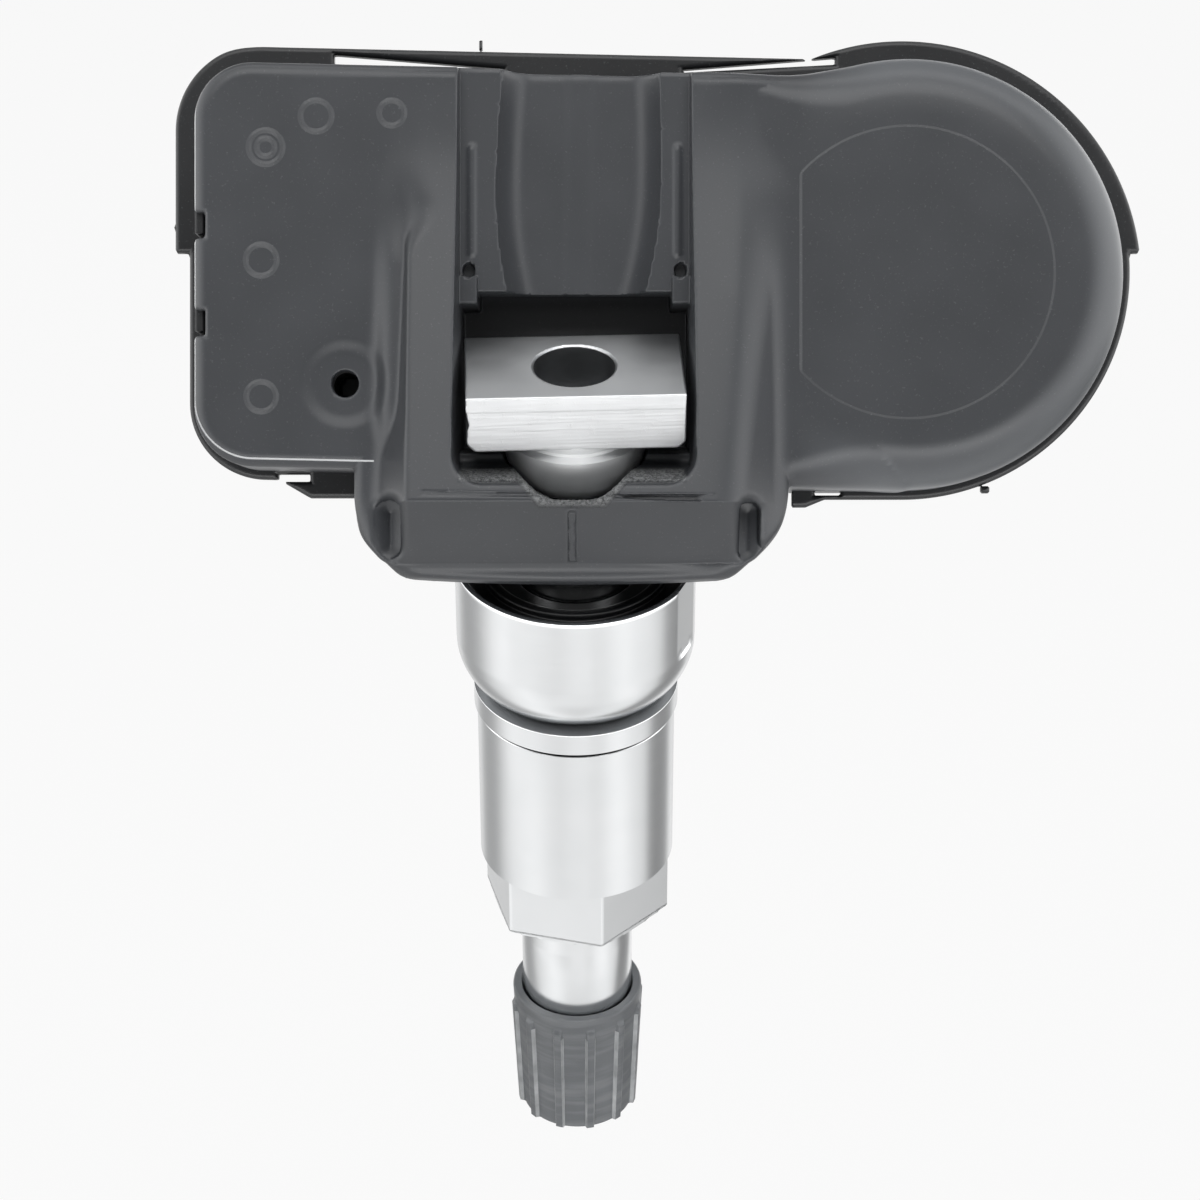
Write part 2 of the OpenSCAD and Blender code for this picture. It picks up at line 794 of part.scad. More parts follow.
// Strip antenna: distance from the wall, strip width, ends up the case and height over the board
antenna_gap = 1.5;
antenna_w = 0.6;
antenna_ends = [4, 18];
antenna_h = 5;

// Strip antenna that stands over the board along the left wall
module antenna_loop() {
    x = antenna_gap + case_wall - case_left;
    top = board_top_h + antenna_h;
    color("#c08a52") on_swivel() {
        for (y = antenna_ends) block([x, y, board_top_h], [x + antenna_w, y + antenna_w, top]);
        block([x, antenna_ends[0], top - antenna_w],
            [x + antenna_w, antenna_ends[1] + antenna_w, top]);
    }
}

// Distances along the stem, measured up from the rim face
ball_join_z = swivel_z - sqrt(ball_r * ball_r - neck_r * neck_r);
head_z = swivel_z + head_start;
head_top_z = head_z + head_t;
// How far the neck runs down below the seat of the seal
neck_sink = 0.4;
neck_foot_z = seal_seat_z - neck_sink;
chamber_top_z = chamber_len - tip_end;
// Narrow part of the core chamber: step in radius and length
chamber_step = 0.4;
chamber_neck_len = 6.5;
// Flat height of the ball that runs into the collar under the head
ball_top = 0.5;

// One turned and milled piece: head block, ball, neck, nut thread, shank and cap thread
module valve_stem() {
    color("#d6d8da") difference() {
        union() {
            translate([0, 0, head_z + head_t / 2]) rotate(head_turn)
                cube([head_w, head_d, head_t], center = true);
            translate([0, 0, swivel_z + ball_top / 2]) cylinder(r = head_d / 2, h = head_start);
            intersection() {
                translate([0, 0, swivel_z]) sphere(r = ball_r);
                translate([0, 0, swivel_z - ball_r - cut])
                    cylinder(r = ball_r + cut, h = ball_r + cut + ball_top);
            }
            translate([0, 0, neck_foot_z - lap])
                cylinder(r = neck_r, h = ball_join_z - neck_foot_z + ball_top);
            translate([0, 0, -thread_end]) cylinder(r = thread_r, h = thread_end + neck_foot_z);
            translate([0, 0, -shank_end]) cylinder(r = shank_r, h = shank_end - thread_end + cut);
            translate([0, 0, -tip_end]) cylinder(r = tip_r, h = tip_end - shank_end + cut);
        }
        translate([0, 0, head_top_z - head_bore_depth])
            cylinder(r = head_bore_r, h = head_bore_depth + cut);
        translate([0, 0, -tip_end]) cylinder(r = passage_r, h = tip_end + head_top_z);
        translate([0, 0, -tip_end - cut]) cylinder(r = chamber_r, h = chamber_len + cut);
        translate([0, 0, chamber_top_z - lap])
            cylinder(r = chamber_r - chamber_step, h = chamber_neck_len);
    }
}

// Clearance of the rubber seal, and the place and width of the ring on top of it
seal_gap = 0.05;
seal_ring_in = 1.2;
seal_ring_w = 0.8;

// Rubber seal seated in the collar around the neck
module stem_seal() {
    r_out = collar_r - collar_wall - seal_gap;
    r_in = neck_r + seal_gap;
    ring_r = r_out - seal_ring_in;
    top = seal_seat_z + seal_h;
    color("#1c1d1f") {
        ring(r_out, r_in, seal_seat_z, top);
        ring(ring_r, ring_r - seal_ring_w, top - lap, top + seal_ring_h);
    }
}

// Small flat ground on the collar: depth, turn, height of its foot and width of the cutter
flat_depth = 0.16;
flat_turn = -22;
flat_foot_z = 4.4;
cutter_w = 10;
// Clearance between the collar and the stem
collar_gap = 0.2;

// Turned collar: cup for the seal above, rounded towards the rim below
module collar_shell() {
    drop = collar_round_z;
    inset = collar_r - collar_foot_r;
    round_r = (drop * drop + inset * inset) / (2 * inset);
    color("#d2d4d6") difference() {
        rotate_extrude() difference() {
            union() {
                translate([0, drop]) square([collar_r, collar_h - drop]);
                intersection() {
                    square([collar_r, drop]);
                    translate([collar_r - round_r, drop]) circle(r = round_r);
                }
            }
            translate([-cut, -cut]) square([thread_r + collar_gap + cut, collar_h + 2 * cut]);
            translate([-cut, seal_seat_z]) square([collar_r - collar_wall + cut, collar_h]);
        }
        rotate(flat_turn) translate([collar_r - flat_depth, -cutter_w / 2, flat_foot_z])
            cube([cutter_w, cutter_w, collar_h]);
    }
}

// Flat washer between the rim and the nut
module rim_washer() {
    color("#d9dbdd") ring(washer_r, thread_r + slide_gap, -rim_gap - washer_t, -rim_gap);
}

// Long nut: round barrel above, hexagon below
module barrel_nut() {
    top = -rim_gap - washer_t - nut_seam;
    hex_r = hex_flats / 2 / cos(30);
    step = nut_r - hex_flats / 2;
    bevel = 0.5;
    hex_z = cut - nut_round_end;
    color("#d4d6d8") difference() {
        union() {
            translate([0, 0, -nut_round_end]) cylinder(r = nut_r, h = top + nut_round_end);
            translate([0, 0, -nut_round_end - step])
                cylinder(r1 = nut_r - step, r2 = nut_r, h = step);
            intersection() {
                translate([0, 0, -nut_end]) rotate(hex_turn)
                    cylinder(r = hex_r, h = nut_end - nut_round_end + 2 * cut, $fn = 6);
                rotate_extrude() polygon([
                    [0, -nut_end],
                    [hex_flats / 2 + lap, -nut_end],
                    [hex_r + lap, bevel - nut_end],
                    [hex_r + lap, hex_z],
                    [0, hex_z]]);
            }
        }
        translate([0, 0, -nut_end - cut])
            cylinder(r = thread_r + slide_gap, h = nut_end + cut);
    }
}

// Valve core heights, measured up from the tip of the stem
core_sink = 0.4;
core_plug_len = 3.6;
core_len = 10.6;
core_bore_len = 9;
core_head_z = core_sink - tip_end;
core_waist_z = core_head_z + core_plug_len;
core_top_z = core_head_z + core_len;
core_bore_r = 1.25;
core_waist_r = 1.9;
core_gap = 0.05;
// Pin of the core: radius, running clearance, how far it stands out at each end, and its discs
pin_r = 0.5;
pin_gap = 0.08;
pin_out = 0.2;
pin_in = 2.4;
pin_disc_t = 0.7;
pin_disc_z = 1.2;
cup_t = 1.1;

// Brass body of the valve core
module core_body() {
    color("#c9a755") difference() {
        union() {
            translate([0, 0, core_head_z]) cylinder(r = chamber_r - core_gap, h = core_plug_len);
            translate([0, 0, core_head_z]) cylinder(r = core_waist_r, h = core_len);
        }
        translate([0, 0, core_head_z - cut]) cylinder(r = core_bore_r, h = core_bore_len + cut);
        translate([0, 0, core_head_z]) cylinder(r = pin_r + pin_gap, h = core_len + cut);
    }
}

// Sealing ring round the waist of the core
module core_gasket() {
    gasket_gap = 0.02;
    gasket_h = 1.8;
    foot_z = core_waist_z + lap;
    color("#b8473c")
        ring(chamber_r - gasket_gap, core_waist_r + gasket_gap, foot_z, foot_z + gasket_h);
}

// Pin that opens the valve when it is pushed in
module core_pin() {
    color("#d8c48a") {
        translate([0, 0, core_head_z - pin_out]) cylinder(r = pin_r, h = core_len + pin_in + pin_out);
        translate([0, 0, core_head_z + pin_disc_z])
            cylinder(r = core_bore_r - 2 * pin_gap, h = pin_disc_t);
        translate([0, 0, core_top_z + cup_t])
            cylinder(r = core_waist_r - pin_r, h = pin_disc_t);
    }
}

// Coil spring between the pin's shoulder and the inner end of the core bore
module core_spring() {
    turns = 8;
    wire_r = 0.13;
    coil_r = 0.9;
    z0 = core_head_z + pin_disc_z + pin_disc_t + lap + wire_r;
    z1 = core_head_z + core_bore_len - lap - wire_r;
    color("#a9adb0") for (i = [0:turns - 1])
        translate([0, 0, z0 + i * (z1 - z0) / (turns - 1)])
            rotate_extrude() translate([coil_r, 0]) circle(r = wire_r, $fn = 24);
}

// Rubber cup that closes the inner end of the core
module core_cup() {
    lift = 0.02;
    cup_inset = 0.3;
    color("#202022")
        ring(core_waist_r - cup_inset, pin_r, core_top_z + lift, core_top_z + cup_t);
}

// Sealing disc: clearance to the stem tip, to the cap floor and to its wall
disc_lift = 0.02;
disc_seat = 0.05;
disc_gap = 0.25;
cap_end = cap_start + cap_len;
disc_top_z = -tip_end - disc_lift;

// Sealing disc that lies at the bottom of the cap
module cap_disc() {
    color("#2a2a2c") translate([0, 0, disc_top_z - disc_t]) cylinder(r = tip_r - disc_gap, h = disc_t);
}

// Ribbed dust cap
module valve_cap() {
    z_bottom = -cap_end;
    body_h = cap_len - cap_band_h;
    lean = atan((cap_rim_r - cap_end_r) / cap_len);
    inner_z = disc_top_z - disc_t - disc_seat;
    band_step = 0.12;
    rib_root = 0.8;
    mouth_depth = 0.4;
    color("#74777a") difference() {
        union() {
            translate([0, 0, z_bottom])
                cylinder(r1 = cap_end_r, r2 = cap_rim_r - band_step, h = body_h + lap);
            translate([0, 0, z_bottom + body_h]) cylinder(r = cap_rim_r, h = cap_band_h);
            for (i = [0:cap_ribs - 1])
                rotate((i + 0.5) * 360 / cap_ribs)
                    translate([0, 0, z_bottom]) rotate([0, lean, 0])
                        translate([cap_end_r - rib_root, -cap_rib_w / 2, 0])
                            cube([rib_root + cap_rib_out, cap_rib_w, body_h + mouth_depth]);
        }
        translate([0, 0, inner_z]) cylinder(r = tip_r + slide_gap, h = cap_len);
        translate([0, 0, -shank_end - mouth_depth]) cylinder(r = shank_r + cap_gap, h = cap_len);
    }
}

housing_shell();
rear_cover();
circuit_board();
battery_cell();
battery_tab_upper();
battery_tab_lower();
pressure_chip();
port_seal();
controller_chip();
crystal_can();
chip_capacitors();
trigger_coil_core();
trigger_coil_winding();
antenna_loop();
valve_stem();
stem_seal();
collar_shell();
rim_washer();
barrel_nut();
core_body();
core_gasket();
core_pin();
core_spring();
core_cup();
cap_disc();
valve_cap();
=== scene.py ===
# %% [markdown]
# Tyre pressure sensor: a grey moulded case that swivels on a clamp-in metal valve.
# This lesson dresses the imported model. The model fixes every size and every joint, so each cell
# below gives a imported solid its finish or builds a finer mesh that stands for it.

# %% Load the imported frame
import math

import bpy
import numpy as np
from mathutils import Matrix, Vector
from numpy import hypot, maximum, minimum


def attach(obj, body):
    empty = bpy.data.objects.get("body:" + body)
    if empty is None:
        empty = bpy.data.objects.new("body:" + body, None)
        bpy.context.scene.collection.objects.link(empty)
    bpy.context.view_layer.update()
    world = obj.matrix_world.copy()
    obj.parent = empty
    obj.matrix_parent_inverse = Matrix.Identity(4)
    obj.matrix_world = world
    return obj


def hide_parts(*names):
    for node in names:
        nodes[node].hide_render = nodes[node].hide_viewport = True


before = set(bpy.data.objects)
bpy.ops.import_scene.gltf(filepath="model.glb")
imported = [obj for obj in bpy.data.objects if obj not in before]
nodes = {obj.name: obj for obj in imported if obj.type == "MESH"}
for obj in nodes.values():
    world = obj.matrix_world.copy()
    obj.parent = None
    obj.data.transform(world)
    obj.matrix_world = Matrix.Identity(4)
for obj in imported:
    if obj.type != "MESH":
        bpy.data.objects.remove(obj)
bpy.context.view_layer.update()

scene = bpy.context.scene
MM = 0.001

# %% [markdown]
# The camera comes first, because every later choice is judged through it. The photograph was
# taken square on to the case face, from about 24 cm away, so the camera stands as high above the
# horizon as the case leans back. The lens is worked out from the angle that the frame takes in.

# %% Camera
TILT = math.radians(33.5)
SWIVEL_Z = 20.0 * MM
LOOK_AT = Vector((1.72, 0.0, 6.45)) * MM
DISTANCE = 238.4 * MM
VIEW_ANGLE = math.radians(20.02)
SENSOR_MM = 36.0

camera_data = bpy.data.cameras.new("photo_camera")
camera_data.sensor_width = SENSOR_MM
camera_data.lens = SENSOR_MM / (2 * math.tan(VIEW_ANGLE / 2))
camera = bpy.data.objects.new("photo_camera", camera_data)
camera.location = LOOK_AT + DISTANCE * Vector((0.0, -math.cos(TILT), math.sin(TILT)))
camera.rotation_euler = (LOOK_AT - camera.location).to_track_quat("-Z", "Y").to_euler()
scene.collection.objects.link(camera)
scene.camera = camera
scene.view_settings.view_transform = "Standard"
CASE = Matrix.Translation((0, 0, SWIVEL_Z)) @ Matrix.Rotation(math.pi / 2 - TILT, 4, "X")
print("lens in mm:", round(camera_data.lens, 1))

# %% [markdown]
# A few small helpers serve every finish. One turns an sRGB hex value into the linear colour that
# the shader needs. The next adds a node, sets what is a plain value and links what is a socket.
# The others call it for the few kinds of node that nearly every finish is made of.

# %% Helpers for finishes
WHITE = (1, 1, 1, 1)


def linear(hex_value):
    """Linear colour of an sRGB hex string such as 505356."""
    parts = [int(hex_value[i : i + 2], 16) / 255 for i in (0, 2, 4)]
    curved = (c / 12.92 if c <= 0.04045 else ((c + 0.055) / 1.055) ** 2.4 for c in parts)
    return (*curved, 1.0)


def add(tree, kind, inputs=None, **properties):
    """Adds one node to a tree: inputs are values or sockets, properties are its settings."""
    made = tree.nodes.new(kind)
    for key, value in properties.items():
        setattr(made, key, value)
    for key, value in (inputs or {}).items():
        if isinstance(value, bpy.types.NodeSocket):
            tree.links.new(value, made.inputs[key])
        else:
            made.inputs[key].default_value = value
    return made


def start_material(name):
    """Empty node material; returns the material, its tree and the place on the piece."""
    material = bpy.data.materials.new(name)
    material.use_nodes = True
    tree = material.node_tree
    tree.nodes.clear()
    return material, tree, add(tree, "ShaderNodeTexCoord").outputs["Object"]


def calc(tree, rule, *values):
    """Number that a rule makes of numbers."""
    return add(tree, "ShaderNodeMath", dict(enumerate(values)), operation=rule).outputs[0]


def product(tree, *terms):
    """All terms multiplied: a mask that holds where all of them hold."""
    total = terms[0]
    for term in terms[1:]:
        total = calc(tree, "MULTIPLY", total, term)
    return total


def vector(tree, rule, *values):
    """Point or length that a rule makes of points."""
    made = add(tree, "ShaderNodeVectorMath", dict(enumerate(values)), operation=rule)
    return made.outputs["Value" if rule in ("LENGTH", "DISTANCE") else "Vector"]


def ramp(tree, value, start, end, low=0.0, high=1.0, kind="LINEAR"):
    """Goes from low to high while a value goes from start to end."""
    inputs = {"Value": value, "From Min": start, "From Max": end, "To Min": low, "To Max": high}
    return add(tree, "ShaderNodeMapRange", inputs, interpolation_type=kind).outputs[0]


def ramp_mm(tree, value, start, end, **more):
    """Ramp whose start and end are places in millimetres."""
    return ramp(tree, value, start * MM, end * MM, **more)


def noise(tree, where, size_mm, detail=2.0, rough=0.5):
    """Cloudy value whose patches are size_mm wide."""
    inputs = {"Vector": where, "Scale": 1 / (size_mm * MM), "Detail": detail, "Roughness": rough}
    return add(tree, "ShaderNodeTexNoise", inputs).outputs["Fac"]


def mix(tree, share, first, second):
    """Colour between two, hex strings or sockets."""
    a, b = (linear(c) if isinstance(c, str) else c for c in (first, second))
    inputs = {"Factor": share, "A": a, "B": b}
    return add(tree, "ShaderNodeMix", inputs, data_type="RGBA").outputs["Result"]


def bump(tree, height, strength, depth_mm, normal=None, invert=False):
    """Normal that follows a height of depth_mm."""
    inputs = {"Height": height, "Strength": strength, "Distance": depth_mm * MM}
    if normal is not None:
        inputs["Normal"] = normal
    return add(tree, "ShaderNodeBump", inputs, invert=invert).outputs["Normal"]


def surface(tree, colour, rough, normal, **more):
    """Ends a finish with its shader and output."""
    inputs = {"Base Color": colour, "Roughness": rough, "Normal": normal, **more}
    shader = add(tree, "ShaderNodeBsdfPrincipled", inputs)
    add(tree, "ShaderNodeOutputMaterial", {"Surface": shader.outputs[0]})


print("808080 in linear light:", round(linear("808080")[0], 3))

# %% [markdown]
# The case is glass-filled nylon, injection moulded: dark grey, faintly cool, with a satin skin in
# which the finest glass shows as pale flecks. A soft mottle keeps the colour from looking painted,
# and a shallow grain breaks the highlights. The recessed panel and the round marks of the mould
# are a few hundredths deep, so they are drawn as relief in the finish. The soft rim of the
# battery's round end is paled with painted light, and a painted highlight line runs along the box's
# left edge.
# Where the halves of the mould meet round the ball seat, the nylon is torn, and its glass shows as
# a pale crumbly rim. The corners of the cap's ribs carry painted highlight lines.

# %% Moulded nylon
LOBE_XV, LOBE_R = (22.8, 11.0), 14.7
PANEL_XV, PANEL_R, PANEL_LEFT = (22.5, 10.8), 9.85, 15.25
BOX_LEAN = 0.0224
BOX_MIDDLE, BOX_INNER = (-2.35 * MM, 11.375 * MM, 0.0), (19.35 * MM, 9.675 * MM, 1.0)
BOX_CORNER, HIGHLIGHT_HALF = 4.0, 0.06
MARKS = [
    (-20.8, 19.2, 1.15), (-20.8, 19.2, 0.6), (-21.1, 11.6, 1.05), (-21.1, 2.4, 1.0),
    (-17.4, 21.3, 1.05), (-12.3, 21.5, 0.85)]
VEE_X, VEE_ACROSS, VEE_UP, VEE_OFF, VEE_FOOT = -0.1, 0.756, 0.655, 4.62, 4.72
RIBS, RIB_HALF, RIB_OUT, RIB_TURN = 12, 0.325, 0.22, math.radians(-2.5)
CAP_TOP, CAP_END, BAND_LOW, CAP_MID_R = -28.0, -39.1, -29.8, 4.6


def from_spot(tree, place, spot):
    """Distance along the face from a spot in millimetres."""
    flat = add(tree, "ShaderNodeCombineXYZ", {"X": place["X"], "Y": place["Y"]}).outputs[0]
    return vector(tree, "DISTANCE", flat, (spot[0] * MM, spot[1] * MM, 0))


def mould_marks(tree, place, normal):
    """Sinks the mould's ring marks and the round panel into the face."""
    total = 0.0
    for x, v, r in MARKS:
        off = calc(tree, "SUBTRACT", from_spot(tree, place, (x, v)), r * MM)
        line = ramp_mm(tree, calc(tree, "ABSOLUTE", off), 0.2, 0.0)
        total = calc(tree, "ADD", total, line)
    inside = ramp_mm(tree, from_spot(tree, place, PANEL_XV), PANEL_R + 0.08, PANEL_R - 0.08)
    side = ramp_mm(tree, place["X"], PANEL_LEFT - 0.1, PANEL_LEFT + 0.1)
    deep = calc(tree, "ADD", total, product(tree, inside, side))
    shown = product(tree, deep, ramp_mm(tree, place["Z"], 1.2, 1.6))
    return bump(tree, shown, 0.9, 0.12, normal, invert=True)


def painted_edge_light(tree, place, shade):
    """Paints light on the rim of the round end and a highlight line on the box's edge on the left.
    """
    lean = calc(tree, "MULTIPLY_ADD", place["X"], BOX_LEAN, place["Y"])
    point = add(tree, "ShaderNodeCombineXYZ", {"X": place["X"], "Y": lean}).outputs[0]
    point = vector(tree, "ABSOLUTE", vector(tree, "SUBTRACT", point, BOX_MIDDLE))
    point = vector(tree, "MAXIMUM", vector(tree, "SUBTRACT", point, BOX_INNER), (0, 0, 0))
    reach = vector(tree, "LENGTH", point)
    edge = calc(tree, "COMPARE", reach, (BOX_CORNER - HIGHLIGHT_HALF) * MM, HIGHLIGHT_HALF * MM)
    left = calc(tree, "LESS_THAN", place["X"], -13.5 * MM)
    above = calc(tree, "GREATER_THAN", place["Z"], 1.15 * MM)
    # painted light: the round end grows paler towards its rim
    painted_rim_light = ramp_mm(tree, from_spot(tree, place, LOBE_XV), LOBE_R - 3.2, LOBE_R - 0.2,
                  high=0.45, kind="SMOOTHSTEP")
    painted_rim_light = product(tree, painted_rim_light, ramp_mm(tree, place["X"], 15.0, 21.0))
    shade = mix(tree, painted_rim_light, shade, "8a8e92")
    # painted highlight: a thin pale line along the box's left edge
    return mix(tree, product(tree, edge, left, above), shade, "e8eaeb")


def torn_rim(tree, where, place, shade, normal):
    """Pale crumbs round the ball seat and in the pocket's lower corners."""
    x, v, h = place
    wide = calc(tree, "ABSOLUTE", calc(tree, "SUBTRACT", x, VEE_X * MM))
    slant = calc(tree, "MULTIPLY_ADD", wide, VEE_ACROSS, -VEE_OFF * MM)
    slant = calc(tree, "ADD", slant, calc(tree, "MULTIPLY", v, -VEE_UP))
    foot = calc(tree, "MULTIPLY_ADD", v, -1.0, -VEE_FOOT * MM)
    crumb = noise(tree, where, 0.18, 4.0, 0.7)
    uneven = calc(tree, "MULTIPLY_ADD", crumb, 0.7 * MM, -0.35 * MM)
    ragged = calc(tree, "ADD", calc(tree, "MAXIMUM", slant, foot), uneven)
    rim = product(tree, ramp_mm(tree, ragged, 0.5, 0.3), ramp_mm(tree, v, -2.3, -2.6))
    bounds = ((v, -3.55, -3.3), (wide, 3.4, 3.8), (v, -2.2, -2.4), (wide, 7.6, 7.4))
    shelf = product(tree, *(ramp_mm(tree, *bound) for bound in bounds))
    torn = product(tree, calc(tree, "MAXIMUM", rim, shelf), ramp_mm(tree, h, 2.0, 2.4))
    pale = mix(tree, ramp(tree, crumb, 0.38, 0.64), "3c3e40", "a2a4a5")
    normal = bump(tree, product(tree, crumb, torn), 0.8, 0.25, normal)
    return mix(tree, torn, shade, pale), normal


def painted_rib_highlights(tree, where, shade):
    """Paints highlight lines on the corners of the cap's ribs."""
    place = add(tree, "ShaderNodeSeparateXYZ", {"Vector": where}).outputs
    turned = calc(tree, "SUBTRACT", calc(tree, "ARCTAN2", place["Y"], place["X"]), RIB_TURN)
    pitch = 2 * math.pi / RIBS
    middle = calc(tree, "SUBTRACT", calc(tree, "WRAP", turned, pitch, 0.0), pitch / 2)
    off = calc(tree, "ABSOLUTE", middle)
    line = calc(tree, "COMPARE", off, RIB_HALF / CAP_MID_R, 0.014)
    low = calc(tree, "LESS_THAN", place["Z"], (BAND_LOW - 0.15) * MM)
    # painted highlight: pale lines along the rib corners below the band
    rib_glints = product(tree, line, low, noise(tree, where, 1.5, 3.0))
    return mix(tree, rib_glints, shade, "e4e6e7")


def moulded_nylon(name, colour, pale, rough, fleck, relief=False, flow=False):
    """Satin moulded plastic; relief adds what the mould left and painted edge light, flow adds the
    cap's rings and painted rib highlights.
    """
    material, tree, where = start_material(name)
    if relief:
        turn = (math.pi / 2 - TILT, 0, 0)
        stand = {"Vector": where, "Location": (0, 0, SWIVEL_Z), "Rotation": turn}
        where = add(tree, "ShaderNodeMapping", stand, vector_type="TEXTURE").outputs[0]
    mottle = noise(tree, where, 6.0, 3.0)
    flecks = ramp(tree, noise(tree, where, 0.16, 1.0), 0.66, 0.8, high=fleck)
    shade = mix(tree, flecks, mix(tree, mottle, colour, pale), "8c8f92")
    skin = ramp(tree, mottle, 0.0, 1.0, rough - 0.05, rough + 0.07)
    normal = bump(tree, noise(tree, where, 0.22, 3.0), 0.12, 0.03)
    if flow:
        rings = noise(tree, vector(tree, "MULTIPLY", where, (0.12, 0.12, 1.0)), 0.7, 3.0)
        normal = bump(tree, rings, 0.5, 0.1, normal)
        shade = mix(tree, ramp(tree, rings, 0.45, 0.7, high=0.45), shade, "9a9d9f")
        shade = painted_rib_highlights(tree, where, shade)
    if relief:
        place = add(tree, "ShaderNodeSeparateXYZ", {"Vector": where}).outputs
        shade, normal = torn_rim(tree, where, place, shade, normal)
        normal = mould_marks(tree, place, normal)
        shade = painted_edge_light(tree, place, shade)
    surface(tree, shade, skin, normal, IOR=1.53)
    return material


grey_nylon = moulded_nylon("glass_filled_nylon_grey", "404245", "4a4c50", 0.38, 0.2, relief=True)
black_nylon = moulded_nylon("glass_filled_nylon_black", "1f2022", "28292b", 0.38, 0.2)
cap_nylon = moulded_nylon("moulded_nylon_cap", "636669", "7a7d81", 0.36, 0.25, flow=True)
print("plastics:", grey_nylon.name, black_nylon.name, cap_nylon.name)

# %% [markdown]
# The valve is turned aluminium and plated brass. Turning leaves fine rings round the axis, which
# stretch a highlight into upright bands. The rings come from a noise that changes quickly along
# the axis and hardly at all around it, so they need no image.

# %% Turned and milled metal
def turned_metal(name, colour, shade, rough, ring_mm, depth, round_scale=0.03, scratch=0.0):
    """Metal with tool lines; round_scale says how little they change round the axis."""
    material, tree, where = start_material(name)
    squeezed = vector(tree, "MULTIPLY", where, (round_scale, round_scale, 1.0))
    rings = noise(tree, squeezed, ring_mm, 3.0, 0.6)
    tone = mix(tree, noise(tree, where, 3.0, 3.0), colour, shade)
    polish = ramp(tree, rings, 0.3, 0.7, rough - 0.02, rough + 0.03)
    normal = bump(tree, rings, depth, 0.02)
    if scratch:
        nicks = ramp(tree, noise(tree, where, 0.5, 5.0, 0.75), 0.55, 0.7)
        normal = bump(tree, nicks, scratch, 0.05, normal)
    surface(tree, tone, polish, normal, Metallic=1.0)
    return material


satin_plate = turned_metal("satin_nickel_plate", "e8e9ea", "e0e2e3", 0.2, 0.12, 0.012)
washer_steel = turned_metal("polished_steel", "e8e9ea", "e0e2e3", 0.18, 0.1, 0.008)
stem_metal = turned_metal("turned_aluminium", "e9eaeb", "dfe1e2", 0.17, 0.14, 0.03, scratch=0.05)
ball_metal = turned_metal("polished_aluminium", "eceded", "e2e3e4", 0.58, 0.2, 0.03)
milled_metal = turned_metal("milled_aluminium", "e4e6e7", "dcdee0", 0.36, 0.25, 0.06, 0.06)
# the bore's higher roughness is its drilled finish; its dark grey colour is painted shade
dull_bore_painted_shade = turned_metal("bore_aluminium_painted_shade", "77797b", "66686a", 0.5, 0.15, 0.3)
ground_steel = turned_metal("ground_steel", "9c9ea0", "909294", 0.5, 0.2, 0.03)
# painted shadow: a near-black steel finish that stands for the shade in the gap between washer and
# nut
painted_gap_shade = turned_metal("painted_gap_shadow_steel", "2b2c2d", "232425", 0.6, 0.2, 0.05)
sawn_metal = turned_metal("sawn_aluminium", "dadbdc", "cbcccd", 0.55, 0.3, 0.9, 0.04, 0.22)
cell_steel = turned_metal("nickel_plated_steel", "c9cbcd", "bdbfc2", 0.3, 0.3, 0.2)
spring_steel = turned_metal("spring_steel", "b4b6b8", "a8aaac", 0.3, 0.2, 0.2)
core_brass = turned_metal("turned_brass", "c9a85c", "b99748", 0.3, 0.12, 0.25)
coil_copper = turned_metal("enamelled_copper", "b8693f", "a55a34", 0.35, 0.1, 0.6)
print("metals:", satin_plate.name, stem_metal.name, milled_metal.name)

# %% [markdown]
# The seals are EPDM rubber, pressed in a mould: nearly black, a little glossy, with a faint bloom
# that greys it in patches. The small electronic pieces are sealed in the case and seldom seen,
# but each still gets the finish of its real material.

# %% Rubber and electronics
def soft_or_fired(name, colour, pale, rough, grain_mm, depth):
    """Uniform material with patches of tone and a fine grain: rubber, ceramic, solder mask."""
    material, tree, where = start_material(name)
    patches = noise(tree, where, 2.5, 4.0)
    tone = mix(tree, patches, colour, pale)
    skin = ramp(tree, patches, 0.0, 1.0, rough - 0.06, rough + 0.06)
    normal = bump(tree, noise(tree, where, grain_mm), depth, 0.03)
    surface(tree, tone, skin, normal, IOR=1.52)
    return material


epdm = soft_or_fired("epdm_rubber", "151617", "1f2022", 0.32, 0.2, 0.2)
red_rubber = soft_or_fired("nitrile_rubber_red", "9c3a30", "ad473c", 0.45, 0.2, 0.2)
solder_mask = soft_or_fired("solder_mask_green", "1d4a31", "27593c", 0.3, 0.4, 0.3)
chip_epoxy = soft_or_fired("moulded_epoxy_black", "1e1f21", "28292b", 0.5, 0.12, 0.3)
ferrite = soft_or_fired("sintered_ferrite", "2d2e31", "393a3d", 0.55, 0.15, 0.4)
ceramic = soft_or_fired("fired_ceramic_tan", "98794f", "a98a5e", 0.45, 0.15, 0.3)
print("soft and fired:", epdm.name, solder_mask.name, ferrite.name)

# %% [markdown]
# The case is one moulding whose forms melt into each other: a flat box, a round battery end with
# a soft rim, and a saddle that swells towards the valve. Filleting such joints edge by edge is
# slow and fragile. Instead the whole form is written as a distance: a formula that says how far
# any point is from the surface. Forms are joined with a minimum that rounds the seam.

# %% Distance helpers
def blend_union(a, b, k):
    """Union of two distances with a fillet of about k millimetres."""
    h = np.clip(0.5 + 0.5 * (b - a) / k, 0, 1)
    return b + (a - b) * h - k * h * (1 - h)


def blend_cut(a, b, k):
    """Intersection of two distances with an edge rounded over about k millimetres."""
    return -blend_union(-a, -b, k)


